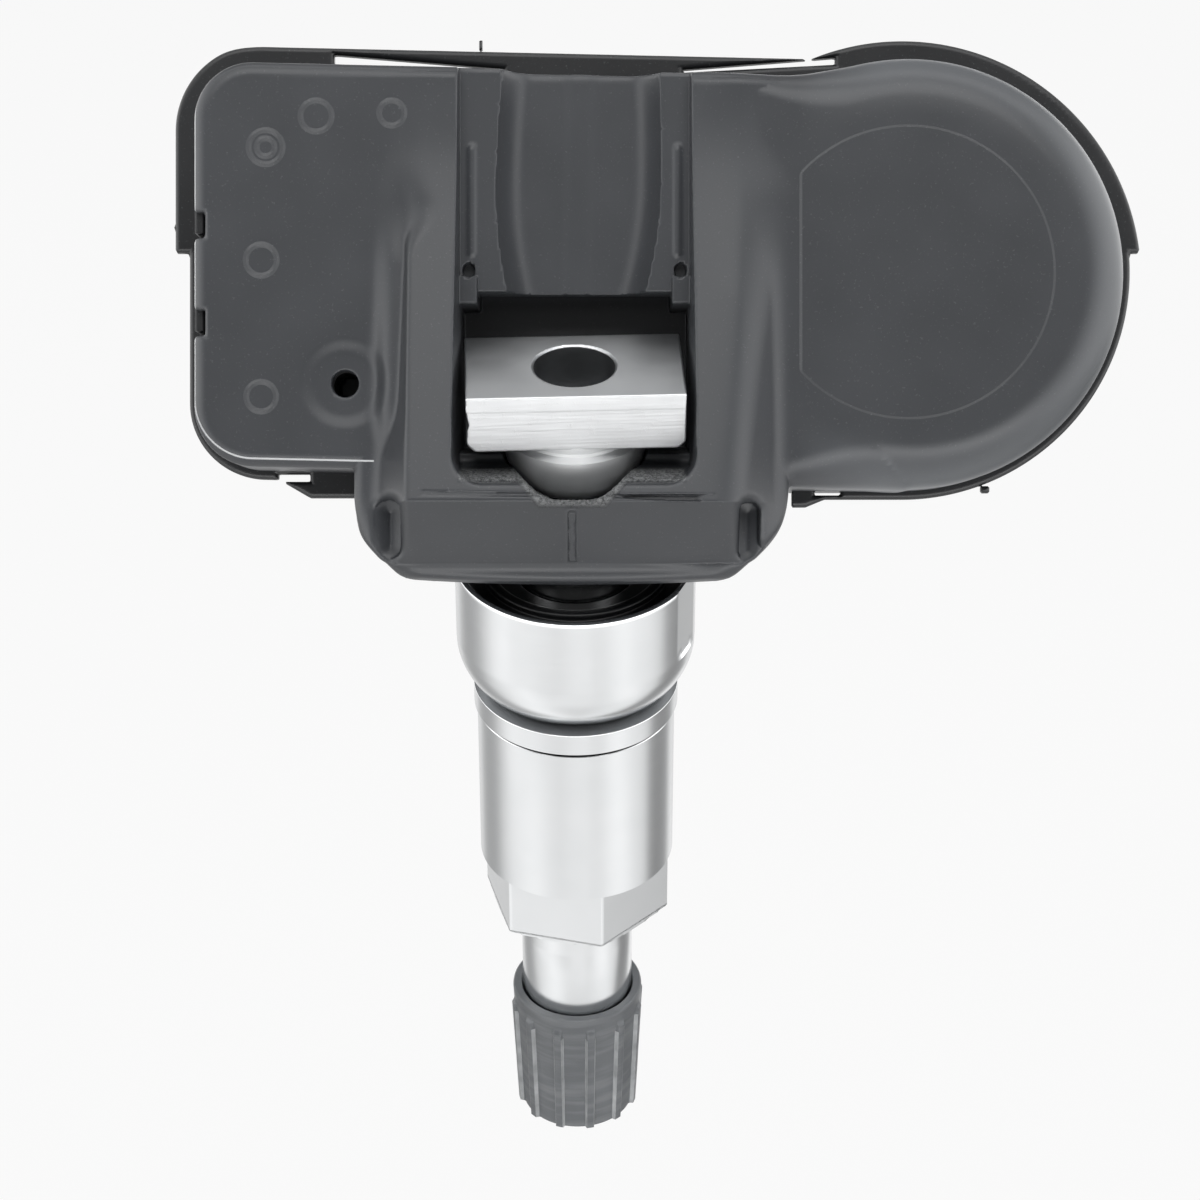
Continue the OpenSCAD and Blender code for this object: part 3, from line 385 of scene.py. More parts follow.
def rounded(a, b, r):
    """Intersection of two faces with a true edge radius r."""
    a, b = a + r, b + r
    return minimum(maximum(a, b), 0) + hypot(maximum(a, 0), maximum(b, 0)) - r


def box2(x, y, x0, x1, y0, y1, r):
    """Flat rectangle with corner radius r."""
    across = np.abs(x - (x0 + x1) / 2) - (x1 - x0) / 2
    return rounded(across, np.abs(y - (y0 + y1) / 2) - (y1 - y0) / 2, r)


def smooth(x, a, b):
    """0 before a, 1 after b, with a soft change between."""
    t = np.clip((x - a) / (b - a), 0, 1)
    return t * t * (3 - 2 * t)


def step_list(*stretches):
    """Grid lines from stretches of (start, end, step)."""
    lines = [np.arange(a, b, s) for a, b, s in stretches]
    return np.concatenate(lines + [[stretches[-1][1]]])


print("mm that a 0.5 mm radius takes off a corner:", round(float(rounded(0, 0, 0.5)), 2))

# %% [markdown]
# A distance has no faces yet. Slicing the cells of a grid one by one leaves thin slivers that
# catch the light. Here one point is set in every cell that the surface crosses, and neighbouring
# points are joined to squares.

# %% Surface net
def laid(values, axis):
    """Values laid along one axis of a grid."""
    return values.reshape([-1 if k == axis else 1 for k in range(3)])


def surface_net(distance, xs, ys, zs):
    """Faces where a distance is zero: one point in each grid cell that the surface crosses."""
    grid = distance(xs[:, None, None], ys[None, :, None], zs[None, None, :])
    grid = np.broadcast_to(grid, (len(xs), len(ys), len(zs)))
    shape = tuple(n - 1 for n in grid.shape)
    total, count = np.zeros(shape + (3,)), np.zeros(shape)
    lines = (xs, ys, zs)
    crossings = []
    for axis in range(3):
        low, high = [slice(None)] * 3, [slice(None)] * 3
        low[axis], high[axis] = slice(0, -1), slice(1, None)
        a, b = grid[tuple(low)], grid[tuple(high)]
        change = (a < 0) != (b < 0)
        crossings.append((change, a < 0))
        t = np.where(change, a / np.where(change, a - b, 1), 0)
        starts = [lines[k][:-1] if k == axis else lines[k] for k in range(3)]
        point = [laid(start, k) + np.zeros_like(a) for k, start in enumerate(starts)]
        point[axis] = point[axis] + t * laid(np.diff(lines[axis]), axis)
        others = [k for k in range(3) if k != axis]
        for sides in ((0, 0), (0, 1), (1, 0), (1, 1)):
            cut = [slice(None)] * 3
            for k, side in zip(others, sides):
                cut[k] = slice(1, None) if side else slice(0, -1)
            hit = change[tuple(cut)]
            count += hit
            for k in range(3):
                total[..., k] += np.where(hit, point[k][tuple(cut)], 0)
    live = count > 0
    index = -np.ones(shape, dtype=np.int64)
    index[live] = np.arange(live.sum())
    verts = total[live] / count[live][:, None]
    faces = []
    for axis, (change, solid_first) in enumerate(crossings):
        u, v = [k for k in range(3) if k != axis]
        inner = [slice(None)] * 3
        inner[u] = inner[v] = slice(1, -1)
        where = np.argwhere(change[tuple(inner)])
        where[:, (u, v)] += 1
        corners = []
        for du, dv in ((1, 1), (0, 1), (0, 0), (1, 0)):
            cell = where.copy()
            cell[:, u] -= du
            cell[:, v] -= dv
            corners.append(index[tuple(cell.T)])
        quads = np.stack(corners, axis=1)
        first = solid_first[tuple(where.T)]
        flip = first if axis == 1 else ~first
        quads[flip] = quads[flip][:, ::-1]
        faces.append(quads)
    return verts, np.concatenate(faces)


def slope_of(distance, p, eps=0.01):
    """Gradient of a distance at points p."""
    rows = [distance(*(p + s).T) - distance(*(p - s).T) for s in np.eye(3) * eps]
    return np.stack(rows, axis=1) / (2 * eps)


def linked(name, spots, faces):
    """Smooth mesh object in the scene."""
    mesh = bpy.data.meshes.new(name)
    mesh.from_pydata(spots, [], faces)
    mesh.shade_smooth()
    made = bpy.data.objects.new(name, mesh)
    scene.collection.objects.link(made)
    print(name, "has", len(faces), "faces")
    return made


PULL_ROUNDS, LONGEST_PULL, LEAST_SLOPE = 3, 0.1, 0.2


def moulding(name, distance, xs, ys, zs, keep=None, stand=Matrix.Identity(4)):
    """Mesh laid on a distance; keep picks faces, stand moves it to the shared frame."""
    verts, faces = surface_net(distance, xs, ys, zs)
    for _ in range(PULL_ROUNDS):
        g = slope_of(distance, verts)
        size = maximum((g * g).sum(axis=1, keepdims=True), LEAST_SLOPE)
        off = np.clip(distance(*verts.T)[:, None], -LONGEST_PULL, LONGEST_PULL)
        verts = verts - off * g / size
    if keep is not None:
        faces = faces[keep(verts[faces].mean(axis=1))]
        used, places = np.unique(faces, return_inverse=True)
        verts, faces = verts[used], places.reshape(faces.shape)
    g = slope_of(distance, verts, 0.03)
    normals = g / maximum(np.linalg.norm(g, axis=1, keepdims=True), 1e-6)
    turn, shift = np.array(stand.to_3x3()), np.array(stand.translation)
    spots, normals = (verts * MM) @ turn.T + shift, normals @ turn.T
    made = linked(name, spots.tolist(), faces.tolist())
    made.data.update()
    made.data.normals_split_custom_set_from_vertices(normals.tolist())
    return made


# %% [markdown]
# The grey case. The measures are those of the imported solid, in millimetres in the case's own
# frame: x across, v up the case from the swivel, h out of its face. The saddle's left flank has a
# shoulder halfway up and its right flank is a plain slope, the channel's groove narrows towards
# the pocket, and the walls lean outwards a little so that the moulding leaves its mould. The walls
# are sunk a little into the cover, so that no gap opens between the two meshes.

# %% The grey case
FACE_H, JOINT_H, BACK_H, LEDGE_H = 2.0, -6.0, -10.8, 0.9
FRONT_R, CREASE_V, CREASE_H = 9.8, -4.8, 7.0
CREASE_SIN, CREASE_COS = math.sin(math.radians(49)), math.cos(math.radians(49))
SADDLE_END, CRADLE_HALF, SINK, BALL_SEAT_R = 19.2, 14.9, 0.3, 5.15
CHANNEL_HALF, CHANNEL_LOW, POCKET_TOP, POCKET_FLOOR = 7.75, 9.4, 9.5, -5.4
PORT_X, PORT_V = -15.46, 3.28
PITS = [(-12.45, -7.6, 0.85, 0.6), (11.67, -7.9, 0.7, 0.25)]


def common(*parts):
    """Sharp-edged intersection of distances."""
    whole = parts[0]
    for part in parts[1:]:
        whole = maximum(whole, part)
    return whole


def leaned(x, v):
    """Place up the case for the box, which lies a little askew."""
    return v + BOX_LEAN * (x + 21.7)


def rail_height(v):
    """Height of the saddle's top above the swivel, rising from the face to the crease."""
    ramp_up = (CREASE_H - FACE_H) * (SADDLE_END - v) / (SADDLE_END - CREASE_V)
    return FACE_H + np.logaddexp(0, ramp_up / 0.35) * 0.35


def saddle_form(x, v, h):
    """Distance to the raised saddle, and how far its top stands above the face."""
    wall_top = CREASE_H + 1.15 * (v - CREASE_V)
    top = minimum(rail_height(v), maximum(wall_top, FACE_H + 0.4))
    rise = maximum(top - FACE_H, 0)
    run_left = np.where(v < CREASE_V, 2.3 / maximum(rise, 0.4), 0.46 - 0.16 * smooth(v, -2, 2))
    rail_left = 11.15 + 1.5 * smooth(v, 13.4, 18.6)
    left = (-x - rail_left - run_left * (top - h)) / np.sqrt(1 + run_left ** 2)
    left = blend_cut(left, h - top, 0.35 + 2.2 * smooth(v, 11.5, 15.5))
    shoulder_h = FACE_H + 0.42 * rise * smooth(v, -4.0, 3.0) * smooth(16.2 - v, 0, 5.0)
    shoulder = (-x - 12.75 - 0.5 * (shoulder_h - h)) * 0.9
    flank = blend_union(left, blend_cut(shoulder, h - shoulder_h, 0.95), 0.35)
    widening = 0.00775 * maximum(v - 10, 0) ** 2
    rail_right = 11.7 + widening - 0.1 * maximum(9 - maximum(v, CREASE_V), 0)
    lift = 0.3 * smooth(x, 8.6, 11.4)
    run = maximum(13.95 - rail_right, 0.3) / (rise + 0.45)
    right = (x - rail_right - run * (top + lift - h)) / np.sqrt(1 + run * run)
    right = blend_cut(right, h - top - lift, 1.9)
    return np.where(x < 0, flank, right), rise


print("saddle's rise at the crease in mm:", round(float(rail_height(CREASE_V)) - FACE_H, 2))

# %% [markdown]
# The body of the case joins a flat box with the battery's round end, and a cradle round the ball
# with the saddle. Each pair gets the fillet that shows in the photograph.

# %% Body of the case
def case_solid(x, v, h):
    """Distance to the grey case before the channel and the pocket are cut."""
    from_middle = hypot(x - LOBE_XV[0], v - LOBE_XV[1])
    box = box2(x, leaned(x, v), -25.7, 21.0, -2.3, 25.05, BOX_CORNER)
    plan = blend_union(from_middle - LOBE_R, box, 1.5)
    plan = blend_union(plan, box2(x, v, 8.0, 22.8, -3.7, 24.0, 0.6), 0.6)
    dome = 0.045 * maximum(from_middle - 10.4, 0) ** 2 * smooth(x, 15, 21)
    plate = rounded(plan, h - FACE_H + dome, 1.0 + 2.0 * smooth(x, 9, 19))
    plate = maximum(plate, JOINT_H - SINK - h)
    swell = 0.45 * (1 - (x / 12.5) ** 2) * smooth(h, -4.5, -2.0)
    round_front = hypot(minimum(v, 0), h) - FRONT_R - maximum(swell, 0)
    skirt = common(v - 1.6, -v - 2.0, BACK_H - h, h)
    slope = (h - CREASE_H) * CREASE_COS - (v - CREASE_V) * CREASE_SIN
    wide = maximum(-x, x + 0.35 + 0.07 * maximum(-v, 0))
    corner = (wide - 13.1) * 0.58 + (-v - 8.75) * 0.814
    side = (wide - CRADLE_HALF) * 0.83 + (-v - 6.2) * 0.557
    plan = blend_cut(blend_cut(wide - CRADLE_HALF, side, 1.2), corner, 1.4)
    body = blend_cut(rounded(plan, h - FACE_H, 0.9), round_front, 0.5)
    body = common(body, v - 5.0, np.where(v > 1.6, JOINT_H - h, BACK_H - h))
    saddle, rise = saddle_form(x, v, h)
    saddle = blend_cut(blend_cut(saddle, slope, 0.22), round_front, 0.5)
    saddle = maximum(blend_cut(saddle, plan, 0.4), FACE_H - 1.0 - h)
    saddle = blend_cut(saddle, leaned(x, v) - 24.65, 0.5)
    whole = minimum(plate, body)
    whole = blend_union(whole, saddle, 0.02 + 0.8 * smooth(rise, 0.0, 0.8))
    return minimum(whole, skirt + maximum(np.abs(x) - CRADLE_HALF, 0))


print("distance from the ball's middle to the case:", round(float(case_solid(0.0, 0.0, 0.0)), 2))

# %% [markdown]
# The channel, the pocket and the ball's seat are cut away last, as their own distances. That keeps
# their rims crisp where the body is soft, and the torn edge round the ball gets its crumbs here.

# %% What is cut away
def crumbs(x, v, h):
    """Uneven bumps of a torn edge, in millimetres."""
    coarse = np.sin(9.1 * x + 3.0 * v) * np.sin(8.3 * v - 4.1 * h)
    return coarse + 0.6 * np.sin(17.0 * x - 6.0 * h) * np.sin(15.0 * v)


def ball_opening(x, v, h):
    """Distance to the hollow round the ball: a sphere below, a rounded V above."""
    ball = np.sqrt(x * x + v * v + h * h) - BALL_SEAT_R
    slant = np.abs(x - VEE_X) * VEE_ACROSS - v * VEE_UP - VEE_OFF
    vee = blend_cut(slant, -v - VEE_FOOT, 0.9)
    vee = np.where(v > -0.8, np.abs(x) - 5.0, vee) + 0.05 * crumbs(x, v, h)
    return minimum(ball, maximum(vee, 2.3 - h))


def channel_cuts(x, v, h):
    """Distance to the channel with its groove, and the pocket for the valve's head."""
    draft = 0.06 * maximum(h, 0)
    channel = common(np.abs(x) - CHANNEL_HALF - draft, LEDGE_H - h, CHANNEL_LOW - v)
    half = 5.62 - 0.0062 * maximum(v - 17.1, 0) ** 2 - 0.0165 * maximum(17.1 - v, 0) ** 2
    across = np.abs(x - 0.12 - 0.02 * (v - 9.5))
    floor = LEDGE_H - 1.9 * (1 - (1 - np.clip((half - across) / 2.1, 0, 1)) ** 2)
    floor = floor + 0.2 * smooth(1.4 - across, 0, 1.1) - 0.5 * maximum(v - 24.0, 0) ** 2
    groove = common(across - half - 0.05, (floor - h) * 0.75, CHANNEL_LOW - v)
    pocket = box2(x, v, -CHANNEL_HALF, CHANNEL_HALF, -3.3, POCKET_TOP, 1.7)
    upper = maximum(np.abs(x) - CHANNEL_HALF, v - POCKET_TOP)
    pocket = np.where(v > 3, upper, pocket) - draft
    shelf = POCKET_FLOOR + 6.6 * smooth(-v, 0.7, 1.4) + 2.9 * smooth(-v, 1.8, 3.4)
    pocket = maximum(pocket, (shelf - h) * 0.6)
    under = common(np.abs(x) - 7.6, np.abs(v - 9.8) - 0.9, POCKET_FLOOR - h, h + 2.2)
    cuts = minimum(minimum(channel, groove), minimum(pocket, under))
    tab = maximum(np.abs(np.abs(x) - 7.3) - 0.72, np.abs(v - 9.65) - 0.95)
    cuts = maximum(cuts, -rounded(maximum(tab, h - 1.5), h - 1.5, 0.2))
    pit = maximum(hypot((np.abs(x) - 7.15) * 1.2, v - 11.0) - 0.5, 0.1 - h)
    return minimum(cuts, pit)


def valve_cut(x, v, h):
    """Distance to the ball's seat and to the neck's room as the case tilts."""
    along = -v * math.cos(TILT) - h * math.sin(TILT)
    off = -v * math.sin(TILT) + h * math.cos(TILT)
    sweep = maximum(along, 0) * math.tan(math.radians(5.5))
    spread = maximum(np.abs(off) - sweep, 0)
    neck = maximum(hypot(x, spread) - 4.3, -along)
    return minimum(ball_opening(x, v, h), neck)


print("the seat is open at the ball's middle:", bool(valve_cut(0.0, 0.0, 0.0) < 0))

# %% [markdown]
# What is left is small: beads, notches, the air port, the crease's slot, two pits and a rib.

# %% The finished case
def grey_case(x, v, h):
    """Distance to the finished grey case."""
    whole = blend_cut(case_solid(x, v, h), -channel_cuts(x, v, h), 0.2)
    whole = blend_cut(whole, -valve_cut(x, v, h), 0.12)
    bead = hypot(np.abs(x) - 6.95, (h - LEDGE_H) * 1.3)
    bead = hypot(bead, maximum(np.abs(v - 15.7) - 3.5, 0)) - 0.2
    whole = blend_union(whole, bead, 0.3)
    notch = common(-x - 27.0, x + 24.9, np.abs(np.abs(v - 10.7) - 3.3) - 0.85)
    whole = blend_cut(whole, -notch, 0.35)
    from_port = hypot(x - PORT_X, v - PORT_V)
    whole = whole + np.where(h > 0, 0.22 * (1 - smooth(from_port, 2.0, 3.2)), 0)
    whole = blend_cut(whole, -maximum(from_port - 0.9, -4.7 - h), 0.2)
    dip = 0.3 * smooth(x, 2.5, 4.0) * smooth(8.6 - x, 0, 0.6)
    rail = rail_height(v) - 0.12 - dip + 0.12 * smooth(-x, 5, 10)
    slot = np.abs(v + 4.42 + 0.018 * x) - 0.1 - 0.1 * smooth(x, 2.5, 7.0)
    slot = common(slot - 0.015 * crumbs(x, v, 0), rail - h, np.abs(x + 0.4) - 9.6)
    whole = blend_cut(whole, -slot, 0.15)
    for middle, low, half_w, deep in PITS:
        away = hypot(x - middle, maximum(maximum(v + 5.4, low - v), 0))
        narrow = np.clip(1 - (FACE_H - h) / deep, 0, 1)
        whole = blend_cut(whole, half_w * narrow - away, 0.7)
    rib_v = (v - CREASE_V) * CREASE_COS + (h - CREASE_H) * CREASE_SIN
    rib_h = (h - CREASE_H) * CREASE_COS - (v - CREASE_V) * CREASE_SIN
    rib = common(np.abs(x + 0.15) - 0.24, np.abs(rib_v + 3.4) - 2.5, np.abs(rib_h) - 0.22)
    return blend_union(whole, rib, 0.2)


def case_faces(middle):
    """Keeps the outside of the case: not the underside that sits on the cover."""
    x, v, h = middle.T
    low = np.where((np.abs(x) < 15.0) & (v < 1.7), BACK_H, JOINT_H - SINK)
    return h > low + 0.05


case_xs = step_list((-26.4, -15.6, 0.3), (-15.6, 16.2, 0.2), (16.2, 38.1, 0.35))
case_vs = step_list((-10.8, -5.0, 0.2), (-5.0, -3.8, 0.1), (-3.8, 12.2, 0.2), (12.2, 26.5, 0.25))
case_hs = step_list((-11.4, -1.25, 0.5), (-1.25, 7.6, 0.2))
case_skin = moulding("case_shell", grey_case, case_xs, case_vs, case_hs, case_faces, CASE)
case_skin.data.materials.append(grey_nylon)
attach(case_skin, "housing")
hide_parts("housing_shell")

# %% [markdown]
# The black cover is a tray with a flange that shows all round the case. The flange is wider round
# the upper part. It has two long slits along the top, two small windows where its hooks snap in,
# a flap beside each cheek of the cradle, and a few nibs where the mould was filled.

# %% The black cover
COVER_BACK, COVER_FLOOR, FLANGE_LOW = -12.0, -10.8, -7.2
BOARD_POSTS = [(-21, 21), (-21, 1.6), (0, 20), (30, 17)]
SLITS = [((-16.8, 26.42), (-5.0, 25.62), 0.31), ((18.1, 26.3), (7.5, 25.6), 0.24)]
WINDOWS = [(-20.7, -18.5, -3.05, -2.55), (16.7, 18.5, -4.0, -3.55)]
NIBS = [(-6.6, 27.4, 0.12, 0.35), (28.6, -3.6, 0.3, 0.25), (-27.75, 14.6, 0.25, 0.1)]


def outline(x, v, grow):
    """Distance to the case's outline seen from the front, grown outwards."""
    box = box2(x, leaned(x, v), -25.7, 21.0, -2.3, 25.3, BOX_CORNER)
    web = box2(x, v, 13.9, 22.8, -3.7, 20.0, 0.3)
    round_end = hypot(x - LOBE_XV[0], v - LOBE_XV[1]) - LOBE_R
    return minimum(minimum(box, web), round_end) - grow


def taper_slit(x, v, wide, thin, half):
    """Slit that narrows from its wide end to a point."""
    run = (x - wide[0]) / (thin[0] - wide[0])
    middle = wide[1] + (thin[1] - wide[1]) * run
    across = np.abs(v - middle) - half * (1 - 0.6 * np.clip(run, 0, 1))
    return maximum(across, maximum(-run, run - 1) * 10)


def black_cover(x, v, h):
    """Distance to the cover."""
    tray = rounded(outline(x, v, 0), COVER_BACK - h, 1.0)
    wide = maximum(outline(x, v, 2.0) - 0.2 * smooth(-x, 22, 25), 12.9 - v)
    low = outline(x, v - 0.6, 1.2)
    slant = (-x - 20.2) * 0.5 + (-v - 3.2) * 0.86
    left = common(-20.2 - x, x + 14.3, -4.2 - v, v - 1.0, slant)
    slant = (x - 16.3) * 0.38 + (-v - 4.75) * 0.92
    right = common(14.3 - x, x - 20.0, -4.85 - v, v - 1.0, slant)
    plan = minimum(minimum(wide, low), blend_union(left, right, 0.2))
    for nx, nv, half_w, half_h in NIBS:
        plan = minimum(plan, maximum(np.abs(x - nx) - half_w, np.abs(v - nv) - half_h))
    for wide_end, thin_end, half in SLITS:
        plan = maximum(plan, -taper_slit(x, v, wide_end, thin_end, half))
    for x0, x1, v0, v1 in WINDOWS:
        plan = maximum(plan, -common(x0 - x, x - x1, v0 - v, v - v1))
    flange = rounded(rounded(plan, h - JOINT_H, 0.35), FLANGE_LOW - h, 0.2)
    rib = common(outline(x, v, -1.55), h + 4.6, -7.0 - h)
    whole = minimum(minimum(maximum(tray, h - JOINT_H), flange), rib)
    catch_v = np.abs(np.abs(v - 11.0) - 3.3) - 0.9
    whole = minimum(whole, common(catch_v, np.abs(x + 25.35) - 0.35, np.abs(h + 3.0) - 4.0))
    whole = maximum(whole, -maximum(outline(x, v, -2.35), COVER_FLOOR - h))
    for px, pv in BOARD_POSTS:
        whole = minimum(whole, common(hypot(x - px, v - pv) - 1.2, h + 8.2, -11.4 - h))
    cradle = minimum(v + 2.0, maximum(v - 1.8, COVER_FLOOR - h))
    return maximum(whole, -maximum(np.abs(x) - 15.1, cradle))


cover_xs = step_list((-28.2, 40.2, 0.26))
cover_vs = step_list((-5.2, -3.95, 0.2), (-3.95, -2.0, 0.09), (-2.0, 25.3, 0.3), (25.3, 28.1, 0.09))
cover_hs = step_list((-12.4, -10.4, 0.2), (-10.4, -7.6, 0.6), (-7.6, -5.6, 0.12), (-5.6, 1.5, 0.5))
cover_skin = moulding("case_cover", black_cover, cover_xs, cover_vs, cover_hs, None, CASE)
cover_skin.data.materials.append(black_nylon)
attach(cover_skin, "housing")
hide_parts("rear_cover")

# %% [markdown]
# Some pieces have two finishes: a bore is duller than a polished side and darkened with painted
# shade, and a sawn face is rougher.
# A helper hands the faces that pass a test to a second material, so the piece stays one mesh.

# %% Two finishes on one piece
def second_finish(piece, material, test):
    """Gives the faces whose middle and normal pass the test another material."""
    faces = piece.data.polygons
    middles = np.array([face.center for face in faces]) / MM
    normals = np.array([face.normal for face in faces])
    chosen = test(middles.T, normals.T)
    piece.data.materials.append(material)
    index = np.array([face.material_index for face in faces])
    marked = np.where(chosen, len(piece.data.materials) - 1, index)
    faces.foreach_set("material_index", marked.astype(np.int32))


print("second finishes are chosen by place")

# %% [markdown]
# Turned pieces start from a profile: corners given as radius and height, each with the small
# fillet that a lathe tool or a mould leaves. The profile is swept round the axis. Only real edges
# are marked sharp, so that the fillets catch a thin highlight. A radius below zero, SHAPED, means
# that a function works the radius out.

# %% Turning helpers
FLAT_ENOUGH = math.radians(32)
ARC_STEPS = 4
SHAPED = -1.0


def soft_profile(corners):
    """Closed profile whose corners (radius, height, fillet) are rounded."""
    points = []
    count = len(corners)
    for i, (r, z, fillet) in enumerate(corners):
        here = Vector((r, z))
        before = Vector(corners[i - 1][:2]) - here
        after = Vector(corners[(i + 1) % count][:2]) - here
        if fillet == 0:
            points.append(tuple(here))
            continue
        half = before.angle(after) / 2
        back = min(fillet / math.tan(half), 0.48 * before.length, 0.48 * after.length)
        a, b = here + before.normalized() * back, here + after.normalized() * back
        for k in range(ARC_STEPS + 1):
            t = k / ARC_STEPS
            points.append(tuple(a * (1 - t) ** 2 + here * (2 * t * (1 - t)) + b * t * t))
    return points


def mesh_object(name, verts, faces, material, body, node):
    """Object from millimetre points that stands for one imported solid."""
    made = linked(name, [tuple(c * MM for c in p) for p in verts], faces)
    made.data.materials.append(material)
    made.data.set_sharp_from_angle(angle=FLAT_ENOUGH)
    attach(made, body)
    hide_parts(node)
    return made


def lathe(name, profile, material, body, node, segments=168, shape=None):
    """Sweeps a closed profile round the axis; shape may move a point by its angle and height."""
    verts, faces = [], []
    rows = len(profile)
    for s in range(segments):
        angle = 2 * math.pi * s / segments
        for r, z in profile:
            radius = r if shape is None else shape(r, z, angle)
            verts.append((radius * math.cos(angle), radius * math.sin(angle), z))
    for s in range(segments):
        t = (s + 1) % segments
        for k in range(rows):
            n = (k + 1) % rows
            faces.append((s * rows + k, t * rows + k, t * rows + n, s * rows + n))
    return mesh_object(name, verts, faces, material, body, node)


print("points on a fillet:", ARC_STEPS + 1)

# %% [markdown]
# The collar is a cup. Its rim is a thin straight wall round the seal, and lower down its outside
# rounds in towards the foot that bears on the wheel rim. A small flat is ground on its right side.
# The seal inside it carries a raised ring that is pressed against the rim's hole.

# %% Collar and seal
dome_turns = np.radians(np.linspace(-63, -7, 12))
dome = [(3.95 + 4.45 * math.cos(a), 4.0 + 4.45 * math.sin(a)) for a in dome_turns]
collar_profile = [(5.75, 0.0), (5.9, 0.03)] + [p for p in dome if p[1] > 0.1]
collar_profile += [(8.39, 4.06), (8.4, 4.2)] + [(8.4, z) for z in np.linspace(4.4, 9.6, 9)]
collar_profile += [(8.4, 9.87), (8.38, 9.92), (8.33, 9.94), (8.05, 9.95), (7.9, 9.85)]
collar_profile += [(7.75, 9.6), (7.75, 5.4), (4.7, 5.4), (4.7, 0.2), (4.82, 0.0)]
FLAT_AT, FLAT_R = math.radians(-22), 8.24


def ground_flat(r, z, angle):
    """Brings the outside of the collar in to its ground flat."""
    if r < 8.0 or z < 4.4:
        return r
    off = math.cos(angle - FLAT_AT)
    return min(r, FLAT_R / off) if off > 0.9 else r


lathe("collar_cup", collar_profile, satin_plate, "valve", "collar_shell",
      300, ground_flat)
seal_profile = soft_profile([
    (4.1, 5.4, 0), (7.7, 5.4, 0), (7.7, 9.0, 0.3), (6.5, 9.0, 0.15), (6.5, 9.5, 0.22),
    (5.7, 9.5, 0.22), (5.7, 9.0, 0.15), (4.1, 9.0, 0.3)])
lathe("rubber_seal", seal_profile, epdm, "valve", "stem_seal")

# %% [markdown]
# The washer is a plain flat ring with its edges broken. The nut is round above and hexagonal
# below. The barrel runs out in a cone, and where the cone meets the six flats it draws the arched
# lines that every barrel nut has. Its lower end is bevelled, which rounds off the six corners.

# %% Washer and nut
BORE_R, WASHER_R = 4.56, 7.25
washer_profile = soft_profile([
    (BORE_R, -1.76, 0.15), (WASHER_R, -1.76, 0.04), (WASHER_R, -1.6, 0), (WASHER_R, -0.26, 0),
    (WASHER_R, -0.1, 0.06), (BORE_R, -0.1, 0.15)])
washer = lathe("clamp_washer", washer_profile, washer_steel, "washer", "rim_washer")
second_finish(washer, ground_steel, lambda middle, normal: normal[2] > 0.8)
# painted shadow: the washer's underside is made near black
second_finish(washer, painted_gap_shade, lambda middle, normal: normal[2] < -0.5)
NUT_R, HEX_HALF, HEX_TURN = 7.03, 6.0, math.radians(45.4)
NUT_TOP, NUT_SHOULDER, NUT_END, BEVEL = -2.07, -14.75, -19.6, 0.25
HEX_CORNER = HEX_HALF / math.cos(math.pi / 6)


def nut_radius(z, angle):
    """Outside radius of the nut at a height and an angle."""
    turn = (angle - HEX_TURN + math.pi / 6) % (math.pi / 3) - math.pi / 6
    flat = HEX_HALF / math.cos(math.pi / 6 - abs(turn))
    if z > NUT_SHOULDER:
        return NUT_R
    cone = NUT_R - (NUT_SHOULDER - z) * 5.0
    bevel = HEX_HALF + 0.1 + (z - NUT_END) * (HEX_CORNER - HEX_HALF) / BEVEL
    return max(min(flat, bevel), cone)


outer = [NUT_TOP - 0.08] + [NUT_TOP - 0.3 - 0.85 * k for k in range(15)]
outer += list(np.linspace(NUT_SHOULDER, NUT_SHOULDER - 0.24, 13))
outer += list(np.linspace(-16.8, NUT_END + BEVEL, 6))
outer += list(np.linspace(NUT_END + 0.4, NUT_END, 5))
nut_profile = [(BORE_R + 0.3, NUT_TOP), (NUT_R - 0.05, NUT_TOP), (NUT_R, NUT_TOP - 0.05)]
nut_profile += [(SHAPED, z) for z in outer] + [(BORE_R + 0.5, NUT_END)]
nut_profile += [(BORE_R, NUT_END + 0.4), (BORE_R, NUT_TOP - 0.3)]
nut = lathe("sleeve_nut", nut_profile, satin_plate, "nut", "barrel_nut", 288,
            lambda r, z, angle: nut_radius(z, angle) if r < 0 else r)
nut_face = NUT_TOP - 0.1
# painted shadow: the nut's top face is made near black
second_finish(nut, painted_gap_shade, lambda middle, normal: (normal[2] > 0.5) & (middle[2] > nut_face))

# %% [markdown]
# The stem is one turned piece. Its thread is a real helix: at every height the radius follows a
# tooth whose place turns with the angle. The two threaded stretches and the plain shank between
# them share one profile, and the air passage and the core's chamber are bored into the tip.

# %% Stem below the ball
NUT_PITCH, CAP_PITCH = 1.0, 0.794


def tooth(z, angle, pitch, depth):
    """How far a thread is cut in at a height and an angle."""
    phase = (z / pitch - angle / (2 * math.pi)) % 1.0
    return depth * min(1.0, max(0.0, 1.6 * abs(2 * phase - 1) - 0.2))


def stem_radius(r, z, angle):
    """Adds the two threads to the stem's profile."""
    if r > 4.4 and z < -0.3:
        return r - tooth(z, angle, NUT_PITCH, 0.3)
    if 3.8 < r < 3.9 and -36.6 < z < -30.0:
        return r - tooth(z, angle, CAP_PITCH, 0.28)
    return r


